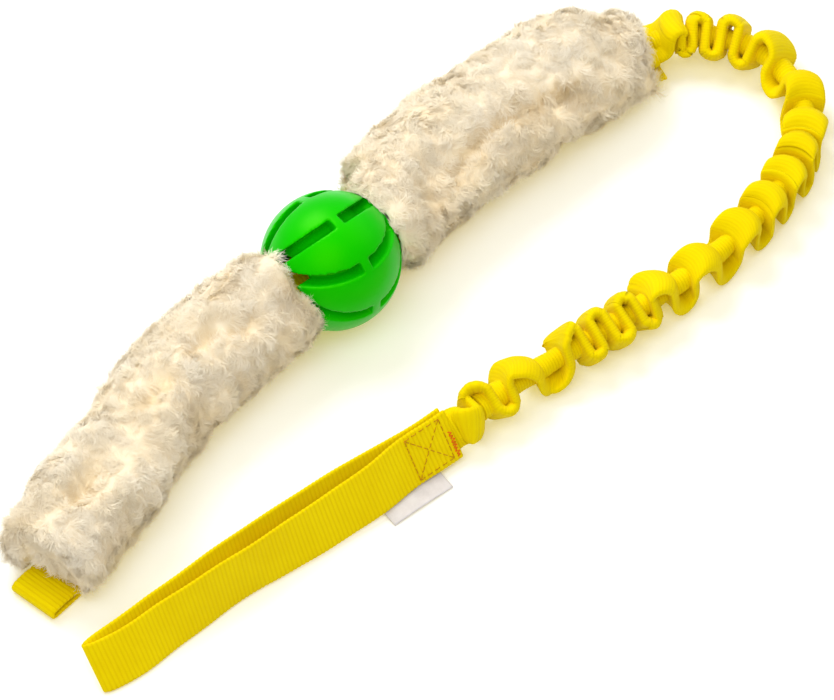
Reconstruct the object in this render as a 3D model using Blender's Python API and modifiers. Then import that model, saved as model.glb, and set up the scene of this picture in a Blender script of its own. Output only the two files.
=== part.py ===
"""Ball tug toy for dogs: a slotted rubber ball on a webbing strap between two sheepskin sleeves,
and a gathered bungee that turns round and comes back to a flat hand loop.

Metres, +Z up. The origin is on the floor under the ball's centre, and +X runs along the strap
through the ball. The toy lies on a table, as it would be put down. The far sleeve is on the -X side
and the near sleeve, which carries the bungee, on the +X side.
"""

import math

import bmesh
import bpy
import numpy as np
from mathutils import Matrix, Vector

# Clearances
CLEARANCE = 0.0003  # between pieces that touch
STRAP_CLEARANCE = 0.0005  # between the strap and the hide round it
BORE_CLEARANCE = 0.0016  # between the strap's corners and the ball
SLEEVE_BALL_CLEARANCE = 0.0004
HIDE_BALL_CLEARANCE = 0.0010
TAIL_CLEARANCE = 0.0004  # between the bungee's tail and the hand loop's ends
FLOOR_GAP = 0.0001  # under what lies on the floor but isn't pressed flat

# Ball
BALL_RADIUS = 0.0315
BALL_FLAT_DEPTH = 0.0005  # how far the rubber is pressed flat under the ball
BALL_FLOOR_RADIUS = 0.0245  # the slots reach down to this sphere
BALL_BRIDGE = 0.004  # rubber left between the two rows of slots
SLOT_COUNT = 8
SLOT_WIDTH = 0.0050
SLOT_OFFSET = 0.0126  # each slot is a plane at this distance from the ball's axis
SLOT_START_DEG = -6.9  # where the first slot meets the middle, from +Z towards +Y

# Webbing
WEBBING_WIDTH = 0.025
WEBBING_THICKNESS = 0.0019
DOUBLING_GAP = 0.0002  # between the strap's two layers
HANDLE_WIDTH = 0.0245
LOOP_INNER_GAP = 0.0022
LOOP_LENGTH = 0.0146
LOOP_LIFT_DEG = 60.0  # room is left in the wool for the loop to lift this far
NEAR_TAB_LENGTH = 0.020
NEAR_TAB_WIDTH = 0.018

# Hide tubes
HIDE_WALL = 0.0016
HIDE_CORNER = 0.0020

# Stitches
THREAD = 0.0006
TACK_STITCH_LENGTH = 0.0028
TACK_STITCH_PITCH = 0.0022
STRAP_TACK_MARGIN = 0.0025  # webbing left beside each tack
STRAP_TACK_BACK = 0.004  # the tacks' place before the strap's ends
SEAM_LENGTH = 0.123
SEAM_BACK = 0.0045  # where each hide's seam starts, from the hide's start
SEAM_STITCH_LENGTH = 0.0050
SEAM_STITCH_PITCH = 0.0065

# Bungee
ELASTIC_RADIUS = 0.0025
SHEATH_WIDTH = 0.0200
SHEATH_THICKNESS = 0.0032
CUFF_THICKNESS = 0.0080
TAIL_THICKNESS = 0.0016
RUFFLE_COUNT = 17
RUFFLE_POINTS = 10
RUFFLE_SWING_DEG = 88.0  # the gathered webbing's greatest slope against its route
CUFF_TURN_DEG = 90.0  # which way the gathered webbing swings, from level: in the flat cuff,
RUFFLE_TURN_DEG = (36.0, 149.0)  # and from the first ruffle to the last
RUFFLE_TURN_START = 0.020
CUFF_LENGTH = 0.012
BULGE_LENGTH = 0.024
BULGE_SLOPE = 0.003  # over this length the bulge thins towards the ruffles and the tail
BUNGEE_RISE = 0.0040  # the bungee's middle is half its webbing's width and this much up
TAIL_OVERLAP = 0.0215  # how far the tail reaches in between the hand loop's ends

# Label
LABEL_LENGTH = 0.0334
LABEL_DEPTH = 0.0070
LABEL_THICKNESS = 0.0007
LABEL_GAP = 0.0020  # from the hand loop's lower edge out to the label's sewn edge
LABEL_SHIFT = 0.0293  # its middle's place, from the hand loop's end
LABEL_RISE = 0.0016  # how much higher its sewn edge lies than its free edge
LABEL_SEAM_HEIGHT = 0.0012  # the seam that holds it, above the hand loop's lower edge

# Stitching on the hand loop, placed from the end that holds the bungee
HANDLE_END_X = -0.0120
TACK_SHIFT = 0.0018
BOX_SHIFT = 0.0045
BOX_LENGTH = 0.0195
BOX_MARGIN = 0.0022

# The hand loop's sewn ends: how they lean, and the lower edge of the tail between them, as y and z
SEWN_LEAN_DEG = 55.3
SEWN_EDGE = (-0.1033, 0.0020)

BALL_CENTRE = Vector((0.0, 0.0, BALL_RADIUS - BALL_FLAT_DEPTH))
STRAP_THICKNESS = 2 * WEBBING_THICKNESS + DOUBLING_GAP
BALL_BORE_RADIUS = math.hypot(WEBBING_WIDTH, STRAP_THICKNESS) / 2 + BORE_CLEARANCE
HIDE_WIDTH = WEBBING_WIDTH + 2 * STRAP_CLEARANCE + 2 * HIDE_WALL
HIDE_HEIGHT = STRAP_THICKNESS + 2 * STRAP_CLEARANCE + 2 * HIDE_WALL

# The strap's route on each side of the ball: x, y and height of its middle.
STRAP_TO_FAR = (
    (0.000, 0.000, BALL_CENTRE.z),
    (-0.030, 0.000, 0.0305),
    (-0.065, -0.001, 0.0265),
    (-0.100, -0.007, 0.0245),
    (-0.130, -0.0180, 0.0225),
    (-0.155, -0.0285, 0.0180),
    (-0.173, -0.0370, 0.0105),
    (-0.185, -0.0418, 0.0052),
    (-0.1941, -0.0435, 0.0036),
)
STRAP_TO_NEAR = (
    (0.000, 0.000, BALL_CENTRE.z),
    (0.030, 0.001, 0.0305),
    (0.065, 0.009, 0.0275),
    (0.100, 0.017, 0.0250),
    (0.135, 0.019, 0.0225),
    (0.165, 0.018, 0.0175),
    (0.186, 0.0165, 0.0130),
    (0.197, 0.0143, 0.0120),
)
# Along the strap from the ball's centre.
HIDE_START = BALL_RADIUS + HIDE_BALL_CLEARANCE
SEAM_STRETCH = (HIDE_START + SEAM_BACK, HIDE_START + SEAM_BACK + SEAM_LENGTH)
FAR_HIDE_BARE = 0.0260  # strap left bare between each hide's end and the tack
NEAR_HIDE_BARE = 0.0200
BORE_START = 0.4 * BALL_RADIUS  # the wool's bore starts here, in the ball's space

# Each sleeve's wool, as sections: x, y and height of its middle, half its width, half its height,
# and how deep and where round it the seam's valley lies.
FAR_WOOL = (
    (-0.0215, 0.0000, 0.0300, 0.0225, 0.0225, 0.00, 90),
    (-0.0300, 0.0000, 0.0285, 0.0260, 0.0265, 0.05, 90),
    (-0.0450, 0.0005, 0.0265, 0.0280, 0.0272, 0.14, 86),
    (-0.0600, 0.0000, 0.0250, 0.0285, 0.0258, 0.18, 82),
    (-0.0800, -0.0020, 0.0240, 0.0280, 0.0248, 0.20, 84),
    (-0.1000, -0.0075, 0.0235, 0.0275, 0.0243, 0.16, 92),
    (-0.1200, -0.0145, 0.0230, 0.0275, 0.0238, 0.20, 96),
    (-0.1400, -0.0215, 0.0230, 0.0270, 0.0238, 0.16, 90),
    (-0.1650, -0.0300, 0.0225, 0.0270, 0.0233, 0.14, 84),
    (-0.1860, -0.0375, 0.0215, 0.0265, 0.0222, 0.08, 88),
    (-0.2000, -0.0425, 0.0190, 0.0240, 0.0195, 0.00, 90),
    (-0.2070, -0.0450, 0.0155, 0.0185, 0.0150, 0.00, 90),
)
NEAR_WOOL = (
    (0.0215, 0.0030, 0.0300, 0.0225, 0.0225, 0.00, 110),
    (0.0300, 0.0055, 0.0280, 0.0270, 0.0270, 0.05, 116),
    (0.0450, 0.0105, 0.0265, 0.0295, 0.0272, 0.15, 120),
    (0.0650, 0.0165, 0.0255, 0.0310, 0.0264, 0.23, 119),
    (0.0850, 0.0190, 0.0255, 0.0320, 0.0263, 0.24, 112),
    (0.1050, 0.0195, 0.0250, 0.0320, 0.0258, 0.24, 100),
    (0.1250, 0.0195, 0.0250, 0.0318, 0.0258, 0.24, 92),
    (0.1450, 0.0195, 0.0245, 0.0315, 0.0253, 0.21, 106),
    (0.1650, 0.0180, 0.0235, 0.0295, 0.0243, 0.12, 114),
    (0.1820, 0.0140, 0.0205, 0.0245, 0.0212, 0.04, 104),
    (0.1920, 0.0125, 0.0175, 0.0190, 0.0170, 0.00, 100),
    (0.1970, 0.0120, 0.0150, 0.0130, 0.0110, 0.00, 100),
)
WOOL_RING_POINTS = 26
WOOL_STEP = 0.0085
VALLEY_WIDTH_DEG = 24.0
LUMP_HEIGHT = 0.030

# The far loop: half the distance of its layers' middles, where it hinges at the sleeve's mouth, which
# way it points, and how far behind and before the hinge the room for it reaches.
LOOP_RADIUS = (LOOP_INNER_GAP + WEBBING_THICKNESS) / 2
LOOP_HINGE = Vector((-0.1952, -0.0437, LOOP_RADIUS + WEBBING_THICKNESS / 2 + 4 * FLOOR_GAP))
LOOP_DIRECTION = Vector((-0.988, -0.152, 0.0)).normalized()
LOOP_ROOM = (-0.0060, 0.0600)
LOOP_ROOM_HEIGHT = 0.060
LOOP_ROOM_SPARE_DEG = 2.0

# The near tab: where it starts and which way it points.
NEAR_TAB_START = Vector((0.1815, 0.0110, 0.0060))
NEAR_TAB_DIRECTION = Vector((0.975, -0.222, -0.060)).normalized()

# The room at the near sleeve's end: where it starts and ends along X, the height of its floor and
# its top, and how much wider it is than the strap on each side.
NEAR_ROOM_X = (0.1790, 0.2300)
NEAR_ROOM_Z = (0.0040, 0.0175)
NEAR_ROOM_SPARE = 0.0040

# The bungee's route along the floor from the near sleeve's end to the hand loop, x and y.
BUNGEE_ROUTE = (
    (0.1998, 0.0137),
    (0.2075, 0.0109),
    (0.2175, 0.0035),
    (0.2270, -0.0080),
    (0.2330, -0.0220),
    (0.2335, -0.0380),
    (0.2295, -0.0530),
    (0.2210, -0.0660),
    (0.2095, -0.0760),
    (0.1950, -0.0840),
    (0.1790, -0.0895),
    (0.1610, -0.0940),
    (0.1410, -0.0970),
    (0.1210, -0.0982),
    (0.1010, -0.0982),
    (0.0830, -0.0978),
    (0.0670, -0.0970),
    (0.0500, -0.0962),
    (0.0330, -0.0956),
    (0.0140, -0.0952),
    (0.0030, -0.0953),
)
BUNGEE_HEIGHT = SHEATH_WIDTH / 2 + BUNGEE_RISE
BUNGEE_TAIL_X = [HANDLE_END_X - TAIL_OVERLAP * share for share in (0.0, 0.5, 1.0)]
TAIL_MOUTH = 0.0010  # the tail is flat from this far before the hand loop
TAIL_LENGTH = TAIL_OVERLAP + TAIL_MOUTH
ELASTIC_BACK = 0.0015  # the elastic starts this far inside the cuff
ELASTIC_SPACE_SPARE = 0.0012  # the space for it is longer than it by this at each end


def sewn_edge(outwards):
    """The lower edge of a sewn end's layer, as y, z and lean: outside the tail or inside it."""
    lean = math.radians(SEWN_LEAN_DEG)
    spacing = (WEBBING_THICKNESS + TAIL_THICKNESS) / 2 + TAIL_CLEARANCE
    y = SEWN_EDGE[0] - outwards * spacing * math.sin(lean)
    z = SEWN_EDGE[1] + outwards * spacing * math.cos(lean)
    return y, z, SEWN_LEAN_DEG


# The hand loop's two layers, as stations: x, then the lower edge's y and z, and the lean in degrees.
# The lower edge starts this far up where it lies on the floor, and at the fold it leans the least.
FOLD_LEAN_DEG = 50.6
HANDLE_LOW = math.cos(math.radians(FOLD_LEAN_DEG)) * WEBBING_THICKNESS / 2 + FLOOR_GAP
SEWN_X = HANDLE_END_X - BOX_SHIFT - BOX_LENGTH
HANDLE_NEAR_LAYER = (
    (HANDLE_END_X, *sewn_edge(1)),
    (SEWN_X, *sewn_edge(1)),
    (-0.0600, -0.1060, 0.0024, 56.0),
    (-0.0900, -0.1080, 0.0012, 55.0),
    (-0.1150, -0.1085, 0.0008, 54.8),
    (-0.1500, -0.1072, HANDLE_LOW, 54.5),
    (-0.1850, -0.1056, HANDLE_LOW, 52.0),
    (-0.2080, -0.1048, HANDLE_LOW, FOLD_LEAN_DEG),
)
HANDLE_FOLD = (-0.2144, -0.1033, HANDLE_LOW, FOLD_LEAN_DEG)
HANDLE_FAR_LAYER = (
    (-0.2080, -0.1017, HANDLE_LOW, 51.5),
    (-0.1850, -0.0992, HANDLE_LOW, 58.0),
    (-0.1500, -0.0964, HANDLE_LOW, 64.0),
    (-0.1150, -0.0949, HANDLE_LOW, 67.0),
    (-0.0900, -0.0954, HANDLE_LOW, 66.0),
    (-0.0600, -0.0976, HANDLE_LOW, 62.0),
    (SEWN_X, *sewn_edge(-1)),
    (HANDLE_END_X, *sewn_edge(-1)),
)
HANDLE_STEP = 0.006
ROUTE_STEP = 0.010
BUNGEE_STEP = 0.002
WELD_DISTANCE = 0.00001

# The label: its free edge lies on the floor, and its sewn edge, its hinge, beside the hand loop's edge.
LABEL_LOW = (LABEL_THICKNESS + CLEARANCE) / 2
LABEL_HINGE = Vector((HANDLE_END_X - LABEL_SHIFT, sewn_edge(1)[0] - LABEL_GAP, LABEL_LOW + LABEL_RISE))


def clear_scene():
    for obj in list(bpy.data.objects):
        bpy.data.objects.remove(obj, do_unlink=True)


def new_collection(name):
    collection = bpy.data.collections.new(name)
    bpy.context.scene.collection.children.link(collection)
    return collection


clear_scene()
TOY = new_collection("ball_tug_toy")
CUTTERS = new_collection("cutters")


def material(name, colour, roughness, metallic=0.0):
    found = bpy.data.materials.new(name)
    found.use_nodes = True
    shader = found.node_tree.nodes["Principled BSDF"]
    shader.inputs["Base Color"].default_value = (*colour, 1.0)
    shader.inputs["Roughness"].default_value = roughness
    shader.inputs["Metallic"].default_value = metallic
    found.diffuse_color = (*colour, 1.0)
    return found


GREEN_RUBBER = material("green_rubber", (0.010, 0.560, 0.006), 0.38)
YELLOW_WEBBING = material("yellow_webbing", (0.830, 0.620, 0.002), 0.75)
HIDE_LEATHER = material("hide_leather", (0.560, 0.440, 0.300), 0.80)
WOOL = material("sheep_wool", (0.800, 0.720, 0.560), 0.95)
ELASTIC = material("elastic_rubber", (0.700, 0.680, 0.620), 0.60)
YELLOW_THREAD = material("yellow_thread", (0.500, 0.300, 0.010), 0.70)
ORANGE_THREAD = material("orange_thread", (0.800, 0.120, 0.020), 0.70)
PALE_THREAD = material("pale_thread", (0.750, 0.700, 0.580), 0.80)
LABEL_CLOTH = material("label_cloth", (0.820, 0.800, 0.760), 0.80)


def object_from(name, bm, surface, smooth_angle=None):
    """A piece of the toy, or a cutter where surface is None."""
    mesh = bpy.data.meshes.new(name)
    bm.to_mesh(mesh)
    bm.free()
    obj = bpy.data.objects.new(name, mesh)
    if surface is None:
        CUTTERS.objects.link(obj)
        obj.hide_render = True
        obj.display_type = "WIRE"
        return obj
    TOY.objects.link(obj)
    mesh.materials.append(surface)
    if smooth_angle is not None:
        mesh.shade_smooth()
        mesh.set_sharp_from_angle(angle=math.radians(smooth_angle))
    return obj


def cut(obj, cutter, crossing=False, solver="EXACT"):
    """Takes the cutter's space out of a piece. MANIFOLD stands where EXACT leaves open edges."""
    modifier = obj.modifiers.new(cutter.name, "BOOLEAN")
    modifier.operation = "DIFFERENCE"
    modifier.solver = solver
    modifier.object = cutter
    if crossing:
        modifier.use_self = True
    return modifier


def thicken(obj, thickness, offset=0.0):
    modifier = obj.modifiers.new("thickness", "SOLIDIFY")
    modifier.thickness = thickness
    modifier.offset = offset
    modifier.use_even_offset = True
    return modifier


def through(stations, step):
    """Rows spaced about a step apart on a smooth curve through the stations, whose first three
    numbers are a place."""
    rows = np.array(stations, float)
    padded = np.vstack([2 * rows[0] - rows[1], rows, 2 * rows[-1] - rows[-2]])
    fine = []
    for i in range(len(rows) - 1):
        a, b, c, d = padded[i : i + 4]
        for t in np.linspace(0, 1, 40, endpoint=False):
            fine.append(
                0.5
                * (
                    2 * b
                    + (c - a) * t
                    + (2 * a - 5 * b + 4 * c - d) * t**2
                    + (3 * b - 3 * c + d - a) * t**3
                )
            )
    fine.append(rows[-1])
    fine = np.array(fine)
    run = distance_along(fine[:, :3])
    count = max(2, int(round(run[-1] / step)) + 1)
    return np.array([at_distance(fine, run, at) for at in np.linspace(0, run[-1], count)])


def distance_along(points):
    """How far along a route each of its points is."""
    return np.concatenate([[0], np.cumsum(np.linalg.norm(np.diff(points, axis=0), axis=1))])


def at_distance(values, run, at):
    """The row of values at a distance along their route."""
    return np.array([np.interp(at, run, values[:, k]) for k in range(values.shape[1])])


def stretch_of(points, start, end):
    """The part of a route between two distances along it, both ends included."""
    run = distance_along(points)
    end = min(end, run[-1])
    inner = run[(run > start + 0.001) & (run < end - 0.001)]
    return np.array([at_distance(points, run, at) for at in (start, *inner, end)])


def frames_along(points):
    """For each point of a route: its direction, the level direction to its left, and the third."""
    ahead = np.gradient(points, axis=0)
    ahead /= np.linalg.norm(ahead, axis=1)[:, None]
    side = np.cross([0, 0, 1], ahead)
    side /= np.linalg.norm(side, axis=1)[:, None]
    return ahead, side, np.cross(ahead, side)


def loft(name, rings, surface, capped=True, smooth_angle=40):
    """A surface through closed rings of points, closed at both ends if capped."""
    bm = bmesh.new()
    rows = [[bm.verts.new(point) for point in ring] for ring in rings]
    for low, high in zip(rows, rows[1:]):
        for i in range(len(low)):
            j = (i + 1) % len(low)
            bm.faces.new((low[i], low[j], high[j], high[i]))
    if capped:
        bm.faces.new(rows[0])
        bm.faces.new(rows[-1])
    bmesh.ops.recalc_face_normals(bm, faces=bm.faces)
    return object_from(name, bm, surface, smooth_angle)


def strip(name, one_edge, other_edge, thickness, surface, across=1):
    """A ribbon between two edges, which Solidify thickens evenly to both sides."""
    bm = bmesh.new()
    rows = []
    for a, b in zip(one_edge, other_edge):
        rows.append([bm.verts.new(a + (b - a) * i / across) for i in range(across + 1)])
    for low, high in zip(rows, rows[1:]):
        for i in range(across):
            bm.faces.new((low[i], low[i + 1], high[i + 1], high[i]))
    obj = object_from(name, bm, surface, 40)
    thicken(obj, thickness)
    return obj


def rounded_rectangle(width, height, radius, corner_points=3):
    """Points round a rectangle with round corners, as (across, up)."""
    points = []
    for quarter in range(4):
        signs = ((1, 1), (-1, 1), (-1, -1), (1, -1))[quarter]
        middle = (signs[0] * (width / 2 - radius), signs[1] * (height / 2 - radius))
        for i in range(corner_points):
            angle = math.radians(90 * quarter + 90 * i / (corner_points - 1))
            points.append(
                (middle[0] + radius * math.cos(angle), middle[1] + radius * math.sin(angle))
            )
    return points


def swept_rings(points, section):
    """The section's points (across, up), carried along a route."""
    _, side, up = frames_along(points)
    return [
        [p + s * across + u * height for across, height in section]
        for p, s, u in zip(points, side, up)
    ]


def poly_tube(name, points, radius, resolution=2):
    """A round bar along points, as a mesh whose end caps are welded on."""
    curve = bpy.data.curves.new(name + "_curve", "CURVE")
    curve.dimensions = "3D"
    curve.bevel_depth = radius
    curve.bevel_resolution = resolution
    curve.use_fill_caps = True
    spline = curve.splines.new("POLY")
    spline.points.add(len(points) - 1)
    for place, point in zip(spline.points, points):
        place.co = (*point, 1.0)
    holder = bpy.data.objects.new(name + "_curve", curve)
    CUTTERS.objects.link(holder)
    bpy.context.view_layer.update()
    evaluated = holder.evaluated_get(bpy.context.evaluated_depsgraph_get())
    mesh = bpy.data.meshes.new_from_object(evaluated)
    bpy.data.objects.remove(holder, do_unlink=True)
    bm = bmesh.new()
    bm.from_mesh(mesh)
    bpy.data.meshes.remove(mesh)
    bmesh.ops.remove_doubles(bm, verts=bm.verts, dist=WELD_DISTANCE)
    return bm


def thread(name, points, surface):
    """One sewn thread, unbroken, along points on the surface that it holds."""
    return object_from(name, poly_tube(name, points, THREAD / 2, resolution=0), surface)


def zigzag(middle, along, across, width, pitch, length):
    """A sewing machine's bar tack: a thread to and fro along one way while it moves across."""
    count = int(width / pitch * 2) + 1
    points = []
    for i in range(count):
        aside = (i / (count - 1) - 0.5) * width
        fore = length / 2 if i % 2 else -length / 2
        points.append(middle + across * aside + along * fore)
    return points


def around_axis(angle_deg):
    """The direction square to the ball's axis at an angle from +Z towards +Y."""
    angle = math.radians(angle_deg)
    return Vector((0.0, math.sin(angle), math.cos(angle)))


def ball_shape(name, radius, surface, across=48, along=24):
    """A sphere at the ball's centre with its poles on the X axis."""
    bm = bmesh.new()
    turn = Matrix.Translation(BALL_CENTRE) @ Matrix.Rotation(math.pi / 2, 4, "Y")
    bmesh.ops.create_uvsphere(bm, u_segments=across, v_segments=along, radius=radius, matrix=turn)
    return object_from(name, bm, surface, 40)


def block(name, low, high):
    """A box cutter between two corners."""
    bm = bmesh.new()
    low, high = Vector(low), Vector(high)
    matrix = Matrix.Translation((low + high) / 2) @ Matrix.Diagonal((*(high - low), 1.0))
    bmesh.ops.create_cube(bm, size=1.0, matrix=matrix)
    return object_from(name, bm, None)


def slot_cutter():
    """Every slot of the ball: slabs beside the axis, less the sphere that is their floor."""
    reach = 1.06 * BALL_RADIUS
    lead = math.degrees(math.asin(SLOT_OFFSET / BALL_RADIUS))
    length = reach - BALL_BRIDGE / 2
    bm = bmesh.new()
    for half in (-1, 1):
        for k in range(SLOT_COUNT):
            out = around_axis(SLOT_START_DEG + k * 360 / SLOT_COUNT - lead)
            beside = around_axis(SLOT_START_DEG + k * 360 / SLOT_COUNT - lead + 90)
            middle = BALL_CENTRE + out * reach / 2 + beside * SLOT_OFFSET
            middle.x = half * (BALL_BRIDGE + length) / 2 + half * BALL_BRIDGE / 4
            turn = Matrix((Vector((1, 0, 0)), out, beside)).transposed().to_4x4()
            size = Matrix.Diagonal((length, reach, SLOT_WIDTH, 1.0))
            bmesh.ops.create_cube(bm, size=1.0, matrix=Matrix.Translation(middle) @ turn @ size)
    cutter = object_from("ball_slot_cutter", bm, None)
    cut(cutter, ball_shape("ball_floor_cutter", BALL_FLOOR_RADIUS, None, 32, 16), crossing=True)
    return cutter


def make_ball(floor):
    ball = ball_shape("ball", BALL_RADIUS, GREEN_RUBBER)
    cut(ball, slot_cutter())
    bm = bmesh.new()
    turn = Matrix.Translation(BALL_CENTRE) @ Matrix.Rotation(math.pi / 2, 4, "Y")
    bmesh.ops.create_cone(
        bm,
        cap_ends=True,
        segments=32,
        radius1=BALL_BORE_RADIUS,
        radius2=BALL_BORE_RADIUS,
        depth=3 * BALL_RADIUS,
        matrix=turn,
    )
    cut(ball, object_from("ball_bore_cutter", bm, None))
    cut(ball, floor, solver="MANIFOLD")
    return ball


def make_strap(far_route, near_route):
    """One strap of doubled webbing through the far sleeve, the ball and the near sleeve."""
    points = np.vstack([far_route[::-1], near_route[1:]])
    _, side, _ = frames_along(points)
    half = side * WEBBING_WIDTH / 2
    return strip("core_strap", points - half, points + half, STRAP_THICKNESS, YELLOW_WEBBING)


def make_hide(name, route, bare):
    """A leather tube round the strap, made as an open tube that Solidify thickens inwards."""
    tack = STRAP_TACK_BACK + (TACK_STITCH_LENGTH + THREAD) / 2
    points = stretch_of(route, HIDE_START, distance_along(route)[-1] - tack - bare)
    section = rounded_rectangle(HIDE_WIDTH, HIDE_HEIGHT, HIDE_CORNER)
    hide = loft(name, swept_rings(points, section), HIDE_LEATHER, capped=False)
    thicken(hide, HIDE_WALL, offset=-1.0)
    return hide


def wool_rings(stations):
    rows = through(stations, WOOL_STEP)
    _, side, _ = frames_along(np.column_stack([rows[:, 0], rows[:, 1], np.zeros(len(rows))]))
    rings = []
    for i, row in enumerate(rows):
        middle, half_width, half_height, depth, valley = row[:3], row[3], row[4], row[5], row[6]
        fade = math.sin(math.pi * i / (len(rows) - 1))
        ring = []
        for k in range(WOOL_RING_POINTS):
            angle = 360 * k / WOOL_RING_POINTS
            notch = depth * math.exp(-(((angle - valley) / VALLEY_WIDTH_DEG) ** 2))
            lump = math.sin(1.7 * i + math.radians(2 * angle)) * math.sin(0.9 * i - math.radians(angle))
            size = 1 - notch + LUMP_HEIGHT * fade * lump
            turn = math.radians(angle)
            ring.append(
                middle
                + side[i] * half_width * size * math.cos(turn)
                + np.array([0, 0, half_height * size * math.sin(turn)])
            )
        rings.append(ring)
    return rings


def make_wool(name, stations, route, ball_cutter, floor):
    """The wool of one sleeve: a loft of its sections, with the hide's space and the ball's cut out."""
    wool = loft(name, wool_rings(stations), WOOL)
    width = HIDE_WIDTH + 2 * CLEARANCE
    height = HIDE_HEIGHT + 2 * CLEARANCE
    section = rounded_rectangle(width, height, HIDE_CORNER + CLEARANCE)
    bore_route = stretch_of(route, BORE_START, distance_along(route)[-1])
    bore = loft(name + "_bore_cutter", swept_rings(bore_route, section), None)
    low = HIDE_HEIGHT / 2
    high = low + CLEARANCE + THREAD + 2 * CLEARANCE
    half = SEAM_STITCH_LENGTH / 2 + CLEARANCE
    channel_section = [(half, low), (half, high), (-half, high), (-half, low)]
    channel_route = stretch_of(route, HIDE_START, SEAM_STRETCH[1] + SEAM_STITCH_PITCH)
    channel = loft(name + "_seam_cutter", swept_rings(channel_route, channel_section), None)
    cut(wool, floor)
    cut(wool, ball_cutter)
    cut(wool, bore)
    cut(wool, channel)
    return wool


def seam_points(route, start, end):
    """The seam's thread, to and fro across the top of a hide."""
    points = stretch_of(route, start, end)
    run = distance_along(points)
    _, side, up = frames_along(points)
    lift = HIDE_HEIGHT / 2 + CLEARANCE + THREAD / 2
    places = []
    for i in range(int(run[-1] / SEAM_STITCH_PITCH * 2)):
        at = i * SEAM_STITCH_PITCH / 2
        place, left, over = (at_distance(v, run, at) for v in (points, side, up))
        aside = (SEAM_STITCH_LENGTH - THREAD) / 2 * (1 if i % 2 else -1)
        places.append(Vector(place + over * lift + left * aside))
    return places


def loop_mouth_cutter():
    """The room at the far sleeve's mouth for the loop, at rest and lifted as far as it goes."""
    lift = math.radians(LOOP_LIFT_DEG + LOOP_ROOM_SPARE_DEG)
    top = LOOP_RADIUS + WEBBING_THICKNESS / 2 + 2 * CLEARANCE
    height = LOOP_ROOM_HEIGHT
    back, front = LOOP_ROOM
    below = -BALL_FLAT_DEPTH
    line_x = -top * math.sin(lift)
    line_z = LOOP_HINGE.z + top * math.cos(lift)
    slot_top = LOOP_HINGE.z + top + CLEARANCE

    def on_line(z):
        return line_x + (z - line_z) / math.tan(lift)

    outline = [
        (back, below),
        (front, below),
        (front, height),
        (on_line(height), height),
        (on_line(slot_top), slot_top),
        (back, slot_top),
    ]
    side = Vector((0, 0, 1)).cross(LOOP_DIRECTION)
    half = WEBBING_WIDTH / 2 + 2 * STRAP_CLEARANCE
    floor_point = Vector((LOOP_HINGE.x, LOOP_HINGE.y, 0.0))
    rings = []
    for across in (-half, half):
        rings.append(
            [floor_point + LOOP_DIRECTION * x + side * across + Vector((0, 0, z)) for x, z in outline]
        )
    return loft("loop_mouth_cutter", rings, None)


def make_far_loop():
    """The strap's end, folded back on itself: two layers and the round of the fold."""
    radius = LOOP_RADIUS
    straight = LOOP_LENGTH - radius - WEBBING_THICKNESS / 2
    profile = [(CLEARANCE, radius), (straight / 2, radius * 1.15)]
    for i in range(9):
        angle = math.pi / 2 - math.pi * i / 8
        profile.append((straight + radius * math.cos(angle), radius * math.sin(angle)))
    profile += [(straight / 2, -radius), (CLEARANCE, -radius)]
    side = Vector((0, 0, 1)).cross(LOOP_DIRECTION) * WEBBING_WIDTH / 2
    centre = [LOOP_HINGE + LOOP_DIRECTION * x + Vector((0, 0, z)) for x, z in profile]
    return strip(
        "far_loop", [p - side for p in centre], [p + side for p in centre], WEBBING_THICKNESS, YELLOW_WEBBING
    )


def end_tack(name, route, back):
    """A bar tack across the top of the strap, a little before its end."""
    ahead, side, up = frames_along(route)
    run = distance_along(route)
    place, fore, left, over = (
        Vector(at_distance(v, run, run[-1] - back)) for v in (route, ahead, side, up)
    )
    middle = place + over * (STRAP_THICKNESS / 2 + CLEARANCE + THREAD / 2)
    width = WEBBING_WIDTH - 2 * STRAP_TACK_MARGIN
    points = zigzag(middle, fore, left, width, TACK_STITCH_PITCH, TACK_STITCH_LENGTH)
    return thread(name, points, YELLOW_THREAD)


def make_near_tab():
    """The strap's tail under the bungee's start, folded under and sewn down."""
    side = Vector((0, 0, 1)).cross(NEAR_TAB_DIRECTION).normalized() * NEAR_TAB_WIDTH / 2
    ends = (NEAR_TAB_START, NEAR_TAB_START + NEAR_TAB_DIRECTION * NEAR_TAB_LENGTH)
    centre = [ends[0].lerp(ends[1], i / 3) for i in range(4)]
    return strip(
        "near_tab", [p - side for p in centre], [p + side for p in centre], WEBBING_THICKNESS, YELLOW_WEBBING
    )


def near_mouth_cutter():
    """The room at the near sleeve's end for the tail and the tack."""
    half = WEBBING_WIDTH / 2 + NEAR_ROOM_SPARE
    y = STRAP_TO_NEAR[-1][1]
    low = (NEAR_ROOM_X[0], y - half, NEAR_ROOM_Z[0])
    high = (NEAR_ROOM_X[1], y + half, NEAR_ROOM_Z[1])
    return block("near_mouth_cutter", low, high)


def meander(count, points_each, swing_deg):
    """A gathered ribbon seen from its edge, one row per point: how far along its route it is and how
    far to the side. Its direction swings like a sine along its own length, so every bend is round."""
    swing = math.radians(swing_deg)
    steps = count * points_each
    fine = 8
    phase = np.linspace(0, 2 * math.pi * count, steps * fine + 1)
    heading = swing * np.cos(phase)
    middle = (heading[1:] + heading[:-1]) / 2
    along = np.concatenate([[0], np.cumsum(np.cos(middle))])
    aside = np.concatenate([[0], np.cumsum(np.sin(middle))])
    rows = np.column_stack([along, aside])[::fine]
    return rows / along[-1]


def sewn_middle():
    """The middle of the space between the hand loop's sewn ends, y and z."""
    lean = math.radians(SEWN_LEAN_DEG)
    y = SEWN_EDGE[0] + math.cos(lean) * HANDLE_WIDTH / 2
    z = SEWN_EDGE[1] + math.sin(lean) * HANDLE_WIDTH / 2
    return y, z


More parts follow.
